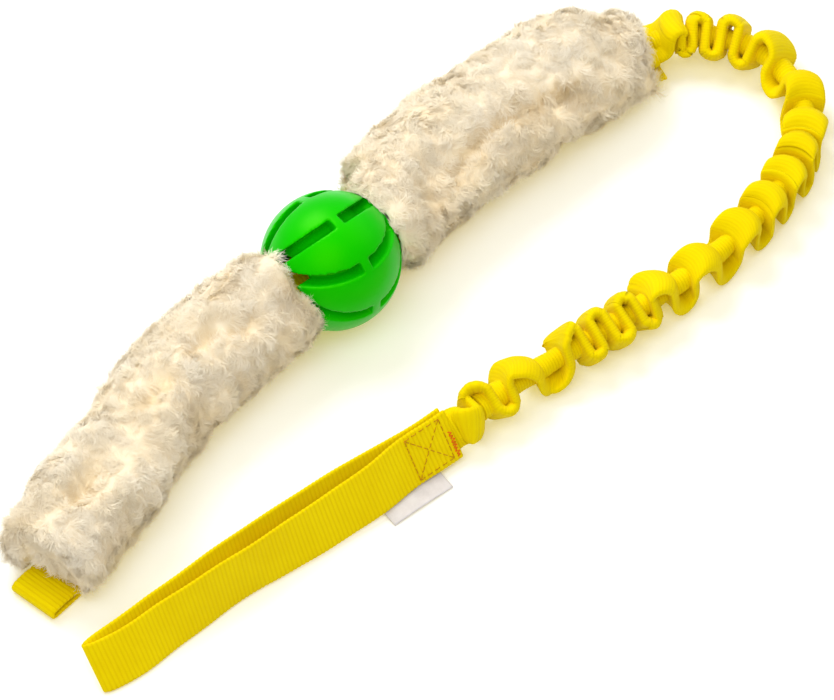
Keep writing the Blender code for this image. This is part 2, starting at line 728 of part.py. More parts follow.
def bungee_route():
    """On the floor, but for its start at the strap's height and its tail in the hand loop."""
    stations = [(x, y, BUNGEE_HEIGHT) for x, y in BUNGEE_ROUTE]
    stations[0] = (*BUNGEE_ROUTE[0], STRAP_TO_NEAR[-1][2])
    stations += [(x, *sewn_middle()) for x in BUNGEE_TAIL_X]
    return through(stations, BUNGEE_STEP)


def sheath_rows(route):
    """Along the bungee: the gathered webbing's centre, its width's direction and its thickness."""
    run = distance_along(route)
    ruffle_start = CUFF_LENGTH
    ruffle_end = run[-1] - TAIL_LENGTH - BULGE_LENGTH
    ruffle_length = ruffle_end - ruffle_start
    wave = meander(RUFFLE_COUNT, RUFFLE_POINTS, RUFFLE_SWING_DEG) * ruffle_length
    stations = [(s, 0.0, CUFF_THICKNESS) for s in np.linspace(0, CUFF_LENGTH * 0.75, 3)]
    stations += [(ruffle_start + s, a, SHEATH_THICKNESS) for s, a in wave[1:-1]]
    bulge = (ruffle_end + BULGE_SLOPE, ruffle_end + BULGE_LENGTH - BULGE_SLOPE)
    stations += [(s, 0.0, CUFF_THICKNESS) for s in np.linspace(*bulge, 4)]
    stations += [(s, 0.0, TAIL_THICKNESS) for s in np.linspace(run[-1] - TAIL_LENGTH, run[-1], 4)]
    ahead, side, _ = frames_along(route)
    turn_places = (0.0, RUFFLE_TURN_START, ruffle_end, run[-1] - TAIL_LENGTH)
    turns = (CUFF_TURN_DEG, *RUFFLE_TURN_DEG, 270.0 - SEWN_LEAN_DEG)
    rows = []
    for along, aside, thickness in stations:
        place = at_distance(route, run, along)
        left = at_distance(side, run, along)
        angle = math.radians(np.interp(along, turn_places, turns))
        wave_way = left * math.cos(angle) + np.array([0, 0, math.sin(angle)])
        width_way = -left * math.sin(angle) + np.array([0, 0, math.cos(angle)])
        rows.append((place + wave_way * aside, width_way, thickness))
    return rows


def least_gap(rows):
    """How near the gathered webbing comes to itself, face to face, in metres."""
    across = (-0.5, 0.0, 0.5)
    centres = np.array([row[0] for row in rows])
    run = distance_along(centres)
    points = np.array([row[0] + row[1] * SHEATH_WIDTH * a for row in rows for a in across])
    place = np.repeat(run, len(across))
    distance = np.linalg.norm(points[:, None] - points[None], axis=2)
    apart = np.abs(place[:, None] - place[None])
    return distance[apart > 4 * SHEATH_THICKNESS].min() - SHEATH_THICKNESS


def make_sheath(route):
    """The gathered tubular webbing, cut through by the space for the elastic."""
    rows = sheath_rows(route)
    print(f"least gap of the gathered webbing to itself: {least_gap(rows) * 1000:.2f} mm")
    half = SHEATH_WIDTH / 2
    one = [row[0] - row[1] * half for row in rows]
    other = [row[0] + row[1] * half for row in rows]
    sheath = strip("bungee_sheath", one, other, CUFF_THICKNESS, YELLOW_WEBBING, across=2)
    group = sheath.vertex_groups.new(name="thickness")
    for i, row in enumerate(rows):
        group.add(list(range(3 * i, 3 * i + 3)), row[2] / CUFF_THICKNESS, "REPLACE")
    sheath.modifiers["thickness"].vertex_group = group.name
    space_points = elastic_points(route)
    for end, inner in ((0, 1), (-1, -2)):
        outwards = (space_points[end] - space_points[inner]).normalized()
        space_points[end] += outwards * ELASTIC_SPACE_SPARE
    space = poly_tube("elastic_space", space_points, ELASTIC_RADIUS + CLEARANCE)
    cut(sheath, object_from("elastic_space_cutter", space, None))
    return sheath


def elastic_points(route):
    """The elastic's places, about every two of its diameters, from inside the cuff to the tail."""
    run = distance_along(route)
    end = run[-1] - TAIL_LENGTH - BULGE_SLOPE
    wanted = np.linspace(ELASTIC_BACK, end, int((end - ELASTIC_BACK) / (4 * ELASTIC_RADIUS)))
    return [Vector(at_distance(route, run, at)) for at in wanted]


def handle_edges():
    """The hand loop's lower and upper edge: one layer, the fold and the other layer."""
    stations = HANDLE_NEAR_LAYER + (HANDLE_FOLD,) + HANDLE_FAR_LAYER
    rows = through(stations, HANDLE_STEP)
    lower = rows[:, :3]
    lean = np.radians(rows[:, 3])
    up = np.column_stack([np.zeros(len(lean)), np.cos(lean), np.sin(lean)])
    return lower, lower + up * HANDLE_WIDTH


def make_handle():
    lower, upper = handle_edges()
    return strip("handle_loop", lower, upper, WEBBING_THICKNESS, YELLOW_WEBBING)


def on_outer_face(x, up_share, lift=0.0):
    """A place for thread on the hand loop's outer face, and the face's upward way and normal."""
    rows = through(HANDLE_NEAR_LAYER, HANDLE_STEP)[::-1]
    y, z, lean = (np.interp(x, rows[:, 0], rows[:, k]) for k in (1, 2, 3))
    lean = math.radians(lean)
    up = Vector((0, math.cos(lean), math.sin(lean)))
    out = Vector((0, -math.sin(lean), math.cos(lean)))
    height = WEBBING_THICKNESS / 2 + CLEARANCE + THREAD / 2 + lift
    return Vector((x, y, z)) + up * HANDLE_WIDTH * up_share + out * height, up, out


def make_box_stitches():
    """A box with a cross in it, sewn as one thread: three sides and a half, one diagonal, back
    beside the first side, and the other diagonal, which passes over the first."""
    inset = 2.5 * THREAD
    low = BOX_MARGIN / HANDLE_WIDTH
    high = 1 - low
    step = inset / HANDLE_WIDTH
    right = HANDLE_END_X - BOX_SHIFT
    left = right - BOX_LENGTH
    corners = [
        (right, high - step),
        (right, low),
        (left, low),
        (left, high),
        (right, high),
        (left + inset, low + step),
        (right - inset, low + step),
        (left + inset, high - step),
    ]
    places = [on_outer_face(*corner)[0] for corner in corners]
    first, last = places[-2], places[-1]
    over = on_outer_face(0.0, 0.5)[2] * (THREAD + CLEARANCE)
    crossing = [first.lerp(last, share) + over for share in (0.44, 0.50, 0.56)]
    before, after = first.lerp(last, 0.36), first.lerp(last, 0.64)
    places = places[:-1] + [before] + crossing + [after, last]
    return thread("handle_box_stitches", places, YELLOW_THREAD)


def make_handle_tack():
    middle, up, _ = on_outer_face(HANDLE_END_X - TACK_SHIFT, 0.5)
    points = zigzag(
        middle, Vector((1, 0, 0)), up, HANDLE_WIDTH - 2 * BOX_MARGIN, TACK_STITCH_PITCH, TACK_STITCH_LENGTH
    )
    return thread("handle_bar_tack", points, ORANGE_THREAD)


def make_label_stitches():
    """The line of thread along the hand loop's lower edge that holds the label."""
    first = LABEL_HINGE.x - LABEL_LENGTH / 2
    end = SEWN_X - 2 * THREAD
    share = LABEL_SEAM_HEIGHT / HANDLE_WIDTH
    points = [on_outer_face(x, share)[0] for x in np.linspace(first, end, 8)]
    return thread("label_stitches", points, PALE_THREAD)


def make_label():
    """A folded label, flat."""
    outer = LABEL_HINGE - Vector((0, LABEL_DEPTH, LABEL_RISE))
    half = Vector((LABEL_LENGTH / 2, 0, 0))
    centre = [outer, outer.lerp(LABEL_HINGE, 0.5), LABEL_HINGE]
    one, other = [p - half for p in centre], [p + half for p in centre]
    return strip("label", one, other, LABEL_THICKNESS, LABEL_CLOTH)


def hinge_at(name, place, pieces):
    """An empty on a joint's axis, which carries the pieces that the joint moves."""
    empty = bpy.data.objects.new(name, None)
    empty.location = place
    empty.empty_display_size = 0.01
    TOY.objects.link(empty)
    bpy.context.view_layer.update()
    for piece in pieces:
        bpy.data.objects[piece].parent = empty
        bpy.data.objects[piece].matrix_parent_inverse = empty.matrix_world.inverted()
    return empty


def add_hinges():
    far_sleeve = ("far_hide", "far_pile", "far_seam_stitches", "far_bar_tack")
    near_sleeve = ("near_hide", "near_pile", "near_seam_stitches", "near_tab", "near_bar_tack")
    sewn_on = ("handle_loop", "handle_box_stitches", "handle_bar_tack", "label_stitches")
    hinge_at("ball_axle", BALL_CENTRE, ("ball",))
    hinge_at("far_sleeve_hinge", BALL_CENTRE, far_sleeve)
    hinge_at("near_sleeve_hinge", BALL_CENTRE, near_sleeve)
    hinge_at("far_loop_hinge", LOOP_HINGE, ("far_loop",))
    hinge_at("handle_hinge", (HANDLE_END_X, *sewn_middle()), sewn_on)
    hinge_at("label_hinge", LABEL_HINGE, ("label",))


def main():
    far_route = through(STRAP_TO_FAR, ROUTE_STEP)
    near_route = through(STRAP_TO_NEAR, ROUTE_STEP)
    route = bungee_route()
    reach = 2 * NEAR_WOOL[-1][0]
    floor = block("floor_cutter", (-reach, -reach, -BALL_RADIUS), (reach, reach, 0.0))
    ball_space = ball_shape(
        "ball_space_cutter", BALL_RADIUS + SLEEVE_BALL_CLEARANCE, None, across=40, along=20
    )

    make_ball(floor)
    make_strap(far_route, near_route)

    make_hide("far_hide", far_route, FAR_HIDE_BARE)
    far_wool = make_wool("far_pile", FAR_WOOL, far_route, ball_space, floor)
    cut(far_wool, loop_mouth_cutter(), solver="MANIFOLD")
    thread("far_seam_stitches", seam_points(far_route, *SEAM_STRETCH), PALE_THREAD)
    make_far_loop()
    end_tack("far_bar_tack", far_route, STRAP_TACK_BACK)

    make_hide("near_hide", near_route, NEAR_HIDE_BARE)
    near_wool = make_wool("near_pile", NEAR_WOOL, near_route, ball_space, floor)
    cut(near_wool, near_mouth_cutter(), solver="MANIFOLD")
    thread("near_seam_stitches", seam_points(near_route, *SEAM_STRETCH), PALE_THREAD)
    make_near_tab()
    end_tack("near_bar_tack", near_route, STRAP_TACK_BACK)

    make_sheath(route)
    object_from("elastic_core", poly_tube("elastic", elastic_points(route), ELASTIC_RADIUS), ELASTIC)

    make_handle()
    make_box_stitches()
    make_handle_tack()
    make_label()
    make_label_stitches()
    add_hinges()


main()
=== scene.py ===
"""Looks of the ball tug toy: moulded rubber ball, sheepskin sleeves, ribbed webbing and its sewing."""

import math

import bpy
import numpy as np
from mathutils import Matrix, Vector
from mathutils.kdtree import KDTree


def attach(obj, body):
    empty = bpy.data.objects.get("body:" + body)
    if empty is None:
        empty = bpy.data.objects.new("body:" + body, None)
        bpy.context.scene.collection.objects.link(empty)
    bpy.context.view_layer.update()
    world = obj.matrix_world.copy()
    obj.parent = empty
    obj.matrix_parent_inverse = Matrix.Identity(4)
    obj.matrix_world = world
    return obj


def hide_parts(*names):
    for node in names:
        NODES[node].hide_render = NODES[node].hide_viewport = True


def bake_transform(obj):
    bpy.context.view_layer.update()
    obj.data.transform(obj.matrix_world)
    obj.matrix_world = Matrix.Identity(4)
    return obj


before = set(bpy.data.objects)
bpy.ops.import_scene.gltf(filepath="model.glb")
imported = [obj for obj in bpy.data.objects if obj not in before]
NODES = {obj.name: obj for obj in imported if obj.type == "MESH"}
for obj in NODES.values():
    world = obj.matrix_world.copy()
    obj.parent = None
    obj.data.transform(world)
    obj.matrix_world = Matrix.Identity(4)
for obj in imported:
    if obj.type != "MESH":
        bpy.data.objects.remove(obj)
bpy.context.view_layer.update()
SEED = 7

# Ball, as in the model, except that the slots on its near half end in walls
BALL_RADIUS = 0.0315
BALL_CENTRE = Vector((0.0, 0.0, 0.0310))
BALL_BORE_RADIUS = 0.01426
SLOT_COUNT = 8
SLOT_WIDTH = 0.0050
SLOT_OFFSET = 0.0126  # each slot is a plane at this distance from the ball's axis
SLOT_START_DEG = -6.9
SLOT_FLOOR_RADIUS = 0.0245  # the slots reach down to this sphere
SLOT_ENDS = {-1: (-0.0340, -0.0016), 1: (0.0030, 0.0252)}  # their stretch in x, on the far and the near half
SLOT_END_FLOOR_RADIUS = 0.0172  # the near half's slots end this far from the ball's axis
BALL_VOXEL = 0.0006

# Webbing
WEBBING_WIDTH = 0.025
HANDLE_WIDTH = 0.0245
WEBBING_THICKNESS = 0.0019
RIB_PITCH = 0.00215
RIB_DEPTH = 0.00022

# Sewing: a stitch's length, the gap to the next one and the thread's radius
BOX_STITCH = (0.0026, 0.0007, 0.00023)
TACK_STITCH = (0.0030, 0.0002, 0.00026)
LABEL_STITCH = (0.0024, 0.0008, 0.00022)
STITCH_RINGS, STITCH_SIDES = 7, 6
THREAD_LIFT = 0.0002

# Camera: the photograph has almost no perspective
PHOTO_WIDTH = 834
PIXELS_PER_METRE = 2250
CAMERA_DISTANCE = 8.0
CAMERA_AZIMUTH_DEG = -40.0
CAMERA_ELEVATION_DEG = 52.0
CAMERA_TARGET = Vector((0.0125, -0.0446, 0.0))
SENSOR_WIDTH = 36.0

# Lamps: name, place, size and power
LAMPS = (
    ("key", (0.05, 0.85, 1.20), 0.8, 14.5),
    ("fill", (0.9, -0.1, 1.1), 1.2, 4.0),
    ("front", (-0.62, -0.50, 1.30), 1.2, 10.5),
)
LAMP_TARGET = Vector((0, -0.03, 0))
WORLD_STRENGTH = 0.38  # where the camera sees the world, it is 1: white
FLOOR_COLOUR = (0.86, 0.85, 0.83, 1.0)
FLOOR_SEEN_COLOUR = (0.68, 0.78, 0.97, 1.0)
FLOOR_GLOW = (0.42, 0.31, 0.06, 1.0)

# Wool: its skin
WOOL_LUMPS = ((0.55, 0.020), (0.35, 0.010), (0.2, 0.005))  # share of the height, and size
PILE_DEPTH = 0.0018  # the skin lies this far inside the model's wool, and the strands cover it
LINING_DEPTH = 0.0006
LUMP_HEIGHT = 0.0024
GROOVE_DEPTH = 0.0055
GROOVE_FULL = 0.0045  # a groove given this depth gets all of GROOVE_DEPTH
GROOVE_LOWEST_Z = 0.030
END_SLANT = 0.45

# Wool: its end at the ball
SHOULDER = 0.014
SHOULDER_RADIUS = 0.028
AROUND_LEAN = 0.8
AROUND_UNIT = 0.025

# Wool: locks, and the strands that gather into them
LOCKS_PER_SLEEVE = 2300
LOCK_LENGTHS = (0.0042, 0.0078)
LOCK_RISES = (0.0007, 0.0021)
LOCK_CURL = 0.9
LOCK_GATHER = 0.42
STRANDS_PER_PIECE = 27000
WOOL_PIECES = 5
STRAND_LEVELS = (0.0, 0.3, 0.58, 0.82, 1.0)  # places of a strand's points along it
STRAND_LENGTHS = (0.70, 1.15)  # against its lock's
STRAND_RISES = (0.75, 1.2)
STRAND_WIDTHS = (0.00014, 0.00026)
STRAND_FRIZZ = 0.00020
STRAND_BALL_ROOM = 0.0005
STRAY_SHARE = 0.07

# Each sleeve's wool: where it ends in x, its end at the ball as rows of place around it and distance
# in x, its dents as place, radius and depth, and its grooves as path, half width and depth
FAR_SHAPE = {
    "end": 0.216,
    "ball": (
        (-1.3, 0.0178), (-0.95, 0.0222), (-0.55, 0.0255), (-0.18, 0.0278), (0.37, 0.0291), (0.76, 0.0278),
    ),
    "dents": (
        ((-0.043, 0.024, 0.043), 0.012, 0.0015),
        ((-0.066, 0.021, 0.041), 0.014, 0.004),
        ((-0.0776, -0.0053, 0.049), 0.008, 0.003),
        ((-0.1092, -0.0119, 0.047), 0.009, 0.003),
        ((-0.1675, -0.0329, 0.045), 0.009, 0.003),
        ((-0.0585, -0.0103, 0.049), 0.007, 0.0025),
    ),
    "grooves": (
        (((-0.056, -0.009), (-0.06, -0.0105), (-0.064, -0.01)), 0.004, 0.0025),
        (((-0.074, -0.004), (-0.078, -0.0055), (-0.083, -0.005)), 0.0045, 0.003),
        (((-0.105, -0.0105), (-0.11, -0.012), (-0.116, -0.014)), 0.0045, 0.003),
        (((-0.162, -0.031), (-0.168, -0.033), (-0.173, -0.0345)), 0.0045, 0.0028),
    ),
}
NEAR_SHAPE = {
    "end": 0.1862,
    "ball": ((0.0, 0.0232),),
    "dents": (
        ((0.0266, 0.0235, 0.045), 0.01, 0.003),
        ((0.056, 0.036, 0.044), 0.012, 0.005),
        ((0.074, 0.041, 0.044), 0.012, 0.0065),
        ((0.09, 0.043, 0.044), 0.009, 0.0015),
        ((0.135, 0.043, 0.043), 0.01, 0.002),
        ((0.183, 0.03, 0.034), 0.014, 0.004),
    ),
    "grooves": (
        (((0.0697, -0.0041), (0.085, 0.0005), (0.1002, 0.004), (0.1143, 0.0027)), 0.005, 0.0045),
        (((0.1143, 0.0027), (0.1306, 0.0), (0.1454, -0.0044)), 0.007, 0.004),
        (((0.048, -0.008), (0.054, -0.012), (0.058, -0.017)), 0.006, 0.0025),
    ),
}

# Strap through the sleeves: x, y and height of its middle
STRAP_TO_FAR = (
    (0.000, 0.000, 0.0310), (-0.030, 0.000, 0.0305), (-0.065, -0.001, 0.0265), (-0.100, -0.007, 0.0245),
    (-0.130, -0.0180, 0.0225), (-0.155, -0.0285, 0.0180), (-0.173, -0.0370, 0.0105),
    (-0.185, -0.0418, 0.0052), (-0.1941, -0.0435, 0.0036),
)
STRAP_TO_NEAR = (
    (0.000, 0.000, 0.0310), (0.030, 0.001, 0.0305), (0.065, 0.009, 0.0275), (0.100, 0.017, 0.0250),
    (0.135, 0.019, 0.0225), (0.165, 0.018, 0.0175), (0.186, 0.0165, 0.0130), (0.197, 0.0143, 0.0120),
)
STRAP_THICKNESS = 0.0040

# Far loop, with its upper and lower layers' heights against its radius, inside the sleeve and halfway
LOOP_HINGE = Vector((-0.1952, -0.0437, 0.0034))
LOOP_DIRECTION = Vector((-0.988, -0.152, 0.0)).normalized()
LOOP_LENGTH = 0.0146
LOOP_RADIUS = 0.00205
LOOP_INSIDE = 0.004
LOOP_UPPER = (0.9, 1.25)
LOOP_LOWER = (0.95, 1.0)

# Near tab
TAB_START = (0.1815, 0.0110, 0.0060)
TAB_DIRECTION = (0.975, -0.222, -0.060)
TAB_LENGTH = 0.0165
TAB_WIDTH = 0.018

# Bungee: its route, as in the model
BUNGEE_ROUTE = (
    (0.1998, 0.0137, 0.0120), (0.2075, 0.0109, 0.0140), (0.2175, 0.0035, 0.0140), (0.2270, -0.0080, 0.0140),
    (0.2330, -0.0220, 0.0140), (0.2335, -0.0380, 0.0140), (0.2295, -0.0530, 0.0140),
    (0.2210, -0.0660, 0.0140), (0.2095, -0.0760, 0.0140), (0.1950, -0.0840, 0.0140),
    (0.1790, -0.0895, 0.0140), (0.1610, -0.0940, 0.0140), (0.1410, -0.0970, 0.0140),
    (0.1210, -0.0982, 0.0140), (0.1010, -0.0982, 0.0140), (0.0830, -0.0978, 0.0140),
    (0.0670, -0.0970, 0.0140), (0.0500, -0.0962, 0.0140), (0.0330, -0.0956, 0.0140),
    (0.0140, -0.0952, 0.0140), (0.0030, -0.0953, 0.0140), (-0.0120, -0.0963, 0.0121),
    (-0.0228, -0.0963, 0.0121), (-0.0335, -0.0963, 0.0121),
)
BUNGEE_END_START = 0.3300  # distance along the route where its end, sewn into the hand loop, starts as a piece of its own
BUNGEE_INSIDE = (0.1915, 0.0160, 0.0120)  # where its webbing starts on the strap, in the near sleeve

# The bungee's gathered webbing
SHEATH_WIDTH = 0.0190
SHEATH_THICKNESS = 0.0058
THICKNESS_SPREAD = (0.92, 1.08)
SHEATH_STEP = 0.00032
SHEATH_RIB_PITCH = 0.0012
SHEATH_RIB_DEPTH = 0.00016
RUFFLE_GROWTH = 1.25
CREST_ANGLES_DEG = (-78, -55, -28, 0, 28, 55, 78)
PETAL_BEND = 0.0044

# Its stations before and after the ruffles: distance, offset and thickness
CUFF_THICKNESS = 0.0042
CUFF_STATIONS = ((-0.0035, 0.0, 0.005), (0.003, 0.0, 0.0062))
BULGE_STATIONS = ((0.3338, -0.002, 0.0085), (0.3362, 0.0, 0.01), (0.3382, 0.0, 0.008))
TAIL_LENGTH = 0.0225
TAIL_THICKNESS = 0.0016

# The bungee's inside: webbing drawn in round the elastic
CORE_RADIUS = 0.0050
CORE_RIB_PITCH = 0.0015
CORE_RIB_DEPTH = 0.0003
CORE_SWELL = (0.35, 0.300, 0.02)  # how much it swells at its end, where that starts and over what length
ELASTIC_RADIUS = 0.0025

# The ruffles' crests: distance along the route and offset, to the outer or upper side first
CRESTS = (
    (0.0095, 0.0058), (0.0155, -0.005), (0.0209, 0.0064), (0.0283, -0.0066), (0.0352, 0.0072),
    (0.044, -0.007), (0.0531, 0.0068), (0.069, -0.0062), (0.0813, 0.0066), (0.092, -0.008),
    (0.103, 0.0064), (0.1095, -0.0082), (0.1161, 0.0068), (0.1235, -0.0084), (0.1307, 0.0066),
    (0.1395, -0.0084), (0.1485, 0.0064), (0.158, -0.0084), (0.167, 0.0066), (0.182, -0.008),
    (0.196, 0.0062), (0.2085, -0.0078), (0.2207, 0.0066), (0.23, -0.0066), (0.2376, 0.0064),
    (0.2454, -0.007), (0.2533, 0.0068), (0.2605, -0.007), (0.2668, 0.0068), (0.28, -0.007),
    (0.3004, 0.0066), (0.311, -0.0064), (0.3201, 0.0066), (0.331, -0.0056),
)
# Which way the ruffles swing: distance and angle, 90 straight up
TURNS = (
    (0.0, 100.0), (0.012, 70.0), (0.02, 36.0), (0.045, 40.0), (0.06, 52.0), (0.082, 78.0), (0.105, 88.0),
    (0.16, 84.0), (0.2, 88.0), (0.222, 112.0), (0.236, 149.0), (0.267, 149.0), (0.284, 82.0),
    (0.3, 118.0), (0.318, 150.0), (0.328, 190.0), (0.334, 214.7), (0.361, 214.7),
)
# How far the webbing's edges bend along the ruffles: distance and share
PETAL_BENDS = ((0.05, 0.3), (0.09, 1), (0.22, 1), (0.24, 0.25), (0.26, 0.25), (0.285, 1), (0.33, 0))

# Hand loop: x, then the lower edge's y and z, and the lean in degrees
HANDLE_END_X = -0.0120
SEWN_X = -0.0360
HANDLE_LOW = 0.0007
HANDLE_NEAR_LAYER = (
    (HANDLE_END_X, -0.1052, 0.0032, 55.3), (SEWN_X, -0.1054, 0.0032, 55.3),
    (-0.0560, -0.1068, 0.0026, 56.5), (-0.0740, -0.1070, 0.0018, 58.5), (-0.0950, -0.1056, 0.0012, 61.5),
    (-0.1130, -0.1042, 0.0009, 67.0), (-0.1300, -0.1025, 0.0008, 72.0),
    (-0.1570, -0.1034, HANDLE_LOW, 66.0), (-0.1880, -0.1058, HANDLE_LOW, 56.0),
    (-0.2070, -0.1054, HANDLE_LOW, 51.6),
)
HANDLE_FOLD = (-0.2144, -0.1033, HANDLE_LOW, 50.6)
HANDLE_FAR_LAYER = (
    (-0.2080, -0.1015, HANDLE_LOW, 51.8), (-0.1850, -0.0992, HANDLE_LOW, 58.0),
    (-0.1500, -0.0964, HANDLE_LOW, 64.0), (-0.1150, -0.0949, HANDLE_LOW, 67.0),
    (-0.0900, -0.0954, HANDLE_LOW, 66.0), (-0.0600, -0.0976, HANDLE_LOW, 62.0),
    (SEWN_X, -0.1015, 0.0008, 55.3), (HANDLE_END_X, -0.1015, 0.0008, 55.3),
)

# The box of stitches on the hand loop, as shares of its width, and the tack to the right of it
BOX_SHIFT = 0.0045
BOX_SHARES = (0.09, 0.91)
TACK_SHIFT = 0.0018
TACK_TURNS = 17
TACK_START = 0.06
TACK_LENGTH = 0.52
TACK_JITTER = 0.012
TACK_REACHES = (0.0006, 0.0013)

# Label: its hinge is the model's, and its edges and seam are placed from it
LABEL_HINGE = (-0.0413, -0.10707, 0.0021)
LABEL_LENGTH = 0.0334
LABEL_DEPTH = 0.0070
LABEL_INNER_EDGE = (0.0042, 0.0001)
LABEL_SEAM = (0.0036, 0.0004)
LABEL_SEAM_HALF = 0.0155
LABEL_SKEW = 0.0004
LABEL_LOW = 0.0007
LABEL_BOW = 0.0006
LABEL_HALF_THICKNESS = 0.0004


def linear(red, green, blue):
    """A colour for a node from its screen values, 0 to 255."""
    parts = [v / 255 for v in (red, green, blue)]
    return (*(v / 12.92 if v <= 0.04045 else ((v + 0.055) / 1.055) ** 2.4 for v in parts), 1.0)


# Materials


class Surface:
    """A Principled material, from a screen colour, and short ways to build its nodes."""

    def __init__(self, name, colour, roughness):
        self.material = bpy.data.materials.new(name)
        self.material.use_nodes = True
        self.tree = self.material.node_tree
        self.shader = self.tree.nodes["Principled BSDF"]
        self.set(self.shader, {"Base Color": linear(*colour), "Roughness": roughness})
        self.height = None

    def set(self, node, inputs):
        """Sets a node's inputs to values, or links them to other nodes' outputs."""
        for key, value in inputs.items():
            if hasattr(value, "is_linked"):
                self.tree.links.new(value, node.inputs[key])
            else:
                node.inputs[key].default_value = value

    def add(self, kind, output, inputs, **settings):
        """An output of a new node."""
        node = self.tree.nodes.new("ShaderNode" + kind)
        for key, value in settings.items():
            setattr(node, key, value)
        self.set(node, inputs)
        return node.outputs[output]

    def gloss(self, level, tint=(1.0, 1.0, 1.0)):
        self.set(self.shader, {"Specular IOR Level": level, "Specular Tint": (*tint, 1.0)})

    def sheen(self, weight, roughness, tint):
        values = {"Weight": weight, "Roughness": roughness, "Tint": (*tint, 1.0)}
        self.set(self.shader, {"Sheen " + name: value for name, value in values.items()})

    def noise(self, scale, detail, where=None):
        if where is None:
            where = self.add("TexCoord", "Object", {})
        return self.add("TexNoise", "Fac", {"Vector": where, "Scale": scale, "Detail": detail})

    def marked(self, name):
        """The number that mark() put on the mesh's points under this name."""
        return self.add("Attribute", "Fac", {}, attribute_name=name)

    def stretched_uv(self, along, across):
        """UV places, in metres, scaled to pattern units."""
        uv = self.add("TexCoord", "UV", {})
        return self.add("Mapping", "Vector", {"Vector": uv, "Scale": (along, across, 1.0)})

    def ramp(self, factor, *stops):
        """A colour that goes from stop to stop: each has a place and a screen colour."""
        made = self.add("ValToRGB", "Color", {"Fac": factor})
        for element, (place, colour) in zip(made.node.color_ramp.elements, stops):
            element.position = place
            element.color = linear(*colour)
        return made

    def mix(self, factor, one, other):
        """Two colours mixed. In the node's colour form, these are its sockets."""
        return self.add("Mix", 2, {0: factor, 6: one, 7: other}, data_type="RGBA")

    def span(self, factor, low, high):
        return self.add("MapRange", "Result", {"Value": factor, "To Min": low, "To Max": high})

    def colour(self, socket):
        self.set(self.shader, {"Base Color": socket})

    def roughness(self, socket):
        self.set(self.shader, {"Roughness": socket})

    def bump(self, height, distance, strength):
        inputs = {"Height": height, "Distance": distance, "Strength": strength}
        if self.height is not None:
            inputs["Normal"] = self.height
        self.height = self.add("Bump", "Normal", inputs)
        self.set(self.shader, {"Normal": self.height})


def rubber():
    made = Surface("green_rubber_look", (5, 203, 1), 0.40)
    made.gloss(0.38, tint=(0.30, 1.0, 0.0))
    made.colour(made.ramp(made.noise(38.0, 2.0), (0.3, (3, 190, 1)), (0.7, (8, 198, 1))))
    made.roughness(made.span(made.noise(420.0, 4.0), 0.30, 0.42))
    made.bump(made.noise(900.0, 3.0), 0.00006, 0.5)
    made.bump(made.noise(60.0, 2.0), 0.0003, 0.2)
    return made.material


def webbing(name, light, dark, groove):
    """Ribbed webbing. The ribs are in the mesh, with painted shade in the grooves between them; the yarns
    across them are here.
    """
    made = Surface(name, light, 0.72)
    made.gloss(0.15, tint=(1.0, 0.86, 0.10))
    made.sheen(0.06, 0.4, tint=(1.0, 0.90, 0.25))
    inputs = {"Vector": made.stretched_uv(900.0, 1300.0), "Scale": 0.5, "Distortion": 0.6, "Detail": 1.0}
    yarns = made.add("TexWave", "Fac", inputs, bands_direction="Y")
    fine = made.noise(1.0, 3.0, made.stretched_uv(500.0, 2200.0))
    tone = made.ramp(made.noise(45.0, 3.0), (0.25, dark), (0.75, light))
    tone = made.mix(0.10, tone, made.ramp(fine, (0.3, dark), (0.7, light)))
    # painted shade: the grooves between the ribs are darkened towards an ochre, by the groove share
    made.colour(made.mix(made.span(made.marked("rib"), groove, 0.0), tone, linear(214, 168, 0)))
    made.roughness(made.span(fine, 0.62, 0.85))
    made.bump(yarns, 0.00012, 0.5)
    made.bump(fine, 0.00008, 0.5)
    return made.material


def wool(name, pale, warm, shade):
    """Wool with painted shade: darker and warmer towards its roots, and where it lies low, in its hollows and
    grooves.
    """
    made = Surface(name, pale, 0.9)
    made.gloss(0.05)
    made.sheen(0.12, 0.5, tint=(1.0, 0.93, 0.80))
    tone = made.ramp(made.noise(34.0, 3.0), (0.30, warm), (0.62, pale))
    # painted shade: a tan where the wool lies low, in its grooves and between its lumps
    tone = made.mix(made.marked("low"), tone, linear(234, 210, 160))
    # painted shade: the strands turn to the shade colour towards their roots
    made.colour(made.mix(made.span(made.marked("tip"), 0.7, 0.0), tone, linear(*shade)))
    return made.material


def suede():
    made = Surface("suede_look", (196, 172, 138), 0.85)
    made.colour(made.ramp(made.noise(240.0, 5.0), (0.3, (176, 150, 116)), (0.7, (212, 190, 158))))
    made.bump(made.noise(1400.0, 4.0), 0.0002, 0.6)
    return made.material


def elastic():
    made = Surface("elastic_look", (218, 214, 200), 0.6)
    made.colour(made.ramp(made.noise(300.0, 2.0), (0.3, (204, 198, 182)), (0.7, (228, 224, 212))))
    made.bump(made.noise(900.0, 2.0), 0.0001, 0.5)
    return made.material


def sewing_thread(name, light, dark):
    made = Surface(name, light, 0.55)
    made.gloss(0.15)
    twist = made.noise(2200.0, 2.0)
    made.colour(made.ramp(twist, (0.35, dark), (0.65, light)))
    made.bump(twist, 0.00005, 0.6)
    return made.material


def label_cloth():
    made = Surface("label_cloth_look", (232, 228, 226), 0.75)
    weave = made.add("TexChecker", "Fac", {"Vector": made.stretched_uv(4200.0, 4200.0), "Scale": 1.0})
    made.colour(made.ramp(made.noise(160.0, 3.0), (0.3, (216, 209, 206)), (0.7, (234, 228, 225))))
    made.bump(weave, 0.00004, 0.4)
    return made.material


